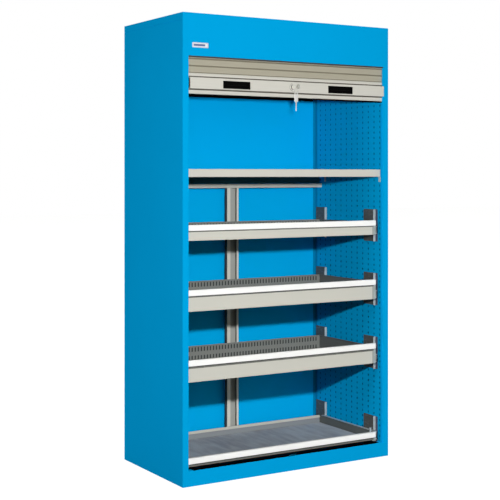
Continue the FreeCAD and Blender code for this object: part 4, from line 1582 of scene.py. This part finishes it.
matShape = {"ribs": 160, "groove": 0.7 * mm, "cuts": (0.18, 0.34, 0.84)}


def makeMat():
    # ribbed from front to rear: each rib has a groove along both of its sides
    shape = matShape
    low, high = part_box("bottom_drawer_mat")
    pitch = (high.x - low.x) / shape["ribs"]
    groove = (0, 0, -shape["groove"])
    rib = addBlock("bottomDrawerMat", low, (low.x + pitch, high.y, high.z))
    drop(rib, "FACE", lambda face: abs(face.normal.x) > flat)
    cuts = [low.x + share * pitch for share in shape["cuts"]]
    for x in cuts:
        cutAt(rib, (x, 0, 0), (1, 0, 0))
    shift(rib, "VERT", lambda p: p.co.z > high.z - near and p.co.x < cuts[0] + near, groove)
    shift(rib, "VERT", lambda p: p.co.z > high.z - near and p.co.x > low.x + pitch - near, groove)
    repeat(rib, shape["ribs"], (pitch, 0, 0))
    choose(rib, "EDGE", lambda line: line.is_boundary)
    bpy.ops.mesh.fill_holes(sides=0)
    leave()
    tidyNormals(rib)
    hand(rib, "drawer_4", "matRubber", "bottom_drawer_mat", smooth=20.0)


makeMat()
print("mat made")


# black strip on the sill: painted shade under the bottom drawer

sillStrip = {
    "half": 479.0 * mm, "front": -278.8 * mm, "rear": -252.3 * mm, "sillTop": 64.0 * mm,
    "thickness": 0.7 * mm, "slotX": (-0.5 * mm, 41.5 * mm), "slotY": (-265.5 * mm, -260.4 * mm),
    "reach": 5.0 * mm, "edge": 0.2 * mm,
}


def makeSillShadeStrip():
    # black strip on the sill, painted shade under the bottom drawer, with the slot that the lock's claw drops
    # into
    shape = sillStrip
    low = shape["sillTop"]
    strip = addBlock("sillStrip", (-shape["half"], shape["front"], low),
                     (shape["half"], shape["rear"], low + shape["thickness"]))
    (x0, x1), (y0, y1) = shape["slotX"], shape["slotY"]
    carve(strip, addBlock("slotCutter", (x0, y0, low - shape["reach"]), (x1, y1, low + shape["reach"])))
    breakEdges(strip, shape["edge"])
    hand(strip, "cabinet", "blackRubberAndShade")


makeSillShadeStrip()


# studio

studio = {
    "cameraPlace": (-2.774, -4.498, 1.286),
    "cameraTurn": -31.31,
    "sensor": 36.0,
    "lens": 83.909,
    "shiftY": -0.1523,
    "ambient": 0.08,
    "frontAmbient": 0.98,
    "frontFocus": 4.0,
    "ambientTint": (1.0, 1.0, 0.86, 1.0),
    # name: place, size, power
    "lamps": {
        "keyLamp": ((-1.48, -2.72, 1.49), 0.05, 32.4),
        "sideLamp": ((-2.6, -0.5, 1.3), 0.3, 10.0),
        "rearLamp": ((2.2, 3.6, 2.6), 0.3, 30.0),
        "topLamp": ((0.9, 0.5, 5.2), 0.3, 16.0),
    },
    "floorSize": 60,
    "floorGlow": 0.95,
    "floorColour": 0.16,
}
white = (1.0, 1.0, 1.0, 1.0)


def seenDirectly(board):
    # 1 for camera, mirror and glass rays
    kinds = [board.add("ShaderNodeLightPath", out=name) for name in
             ("Is Camera Ray", "Is Glossy Ray", "Is Transmission Ray")]
    return board.add("ShaderNodeMath", {"operation": "MINIMUM"}, {0: kinds[0] + kinds[1] + kinds[2], 1: 1.0})


def makeLamp(name, place, size, power):
    # a lamp whose light stays even over the height of the cabinet
    data = bpy.data.lights.new(name, "POINT")
    data.energy = power
    data.shadow_soft_size = size
    board = Board(data)
    level = board.add("ShaderNodeLightFalloff", {}, {"Strength": 1.0}, out="Constant")
    glow = board.add("ShaderNodeEmission", {}, {"Color": white, "Strength": level})
    board.add("ShaderNodeOutputLight", {}, {"Surface": glow})
    lamp = bpy.data.objects.new(name, data)
    lamp.location = place
    bpy.context.scene.collection.objects.link(lamp)


def makeStudio():
    scene = bpy.context.scene
    scene.view_settings.view_transform = "Standard"
    data = bpy.data.cameras.new("mainCamera")
    data.sensor_width = studio["sensor"]
    data.lens = studio["lens"]
    data.shift_y = studio["shiftY"]
    camera = bpy.data.objects.new("mainCamera", data)
    camera.location = studio["cameraPlace"]
    camera.rotation_euler = (math.pi / 2, 0, math.radians(studio["cameraTurn"]))
    scene.collection.objects.link(camera)
    scene.camera = camera
    world = bpy.data.worlds.new("studioWorld")
    scene.world = world
    board = Board(world)
    # soft light, strongest from straight in front; white where it is seen
    place = board.add("ShaderNodeTexCoord", out=3)
    along = board.add("ShaderNodeSeparateXYZ", {}, {0: place}, out="Y")
    facing = board.add("ShaderNodeMath", {"operation": "MAXIMUM"}, {0: along * -1.0, 1: 0.0})
    facing = board.add("ShaderNodeMath", {"operation": "POWER"}, {0: facing, 1: studio["frontFocus"]})
    tint = studio["ambientTint"]
    weak = board.add("ShaderNodeBackground", {}, {"Color": tint, "Strength": studio["ambient"]})
    strong = board.add("ShaderNodeBackground", {},
                       {"Color": tint, "Strength": studio["ambient"] + studio["frontAmbient"]})
    soft = board.add("ShaderNodeMixShader", {}, {0: facing, 1: weak, 2: strong})
    plain = board.add("ShaderNodeBackground", {}, {"Color": white, "Strength": 1.0})
    glow = board.add("ShaderNodeMixShader", {}, {0: seenDirectly(board), 1: soft, 2: plain})
    board.add("ShaderNodeOutputWorld", {}, {"Surface": glow})
    for name, (place, size, power) in studio["lamps"].items():
        makeLamp(name, place, size, power)
    bpy.ops.object.select_all(action="DESELECT")
    bpy.ops.mesh.primitive_plane_add(size=studio["floorSize"])
    floor = settle(bpy.context.object, "studioFloor")
    board = newBoard("paleFloor")
    grey = studio["floorColour"]
    diffuse = board.add("ShaderNodeBsdfDiffuse", {}, {"Color": (grey, grey, grey, 1)})
    level = seenDirectly(board) * studio["floorGlow"]
    shine = board.add("ShaderNodeEmission", {}, {"Color": white, "Strength": level})
    both = board.add("ShaderNodeAddShader", {}, {0: diffuse, 1: shine})
    board.add("ShaderNodeOutputMaterial", {}, {"Surface": both})
    floor.data.materials.append(board.owner)
    floor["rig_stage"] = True


makeStudio()
print("studio made")

sizes = {"cad": [list(corner) for corner in cadBox], "visual": [list(corner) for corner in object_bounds()]}
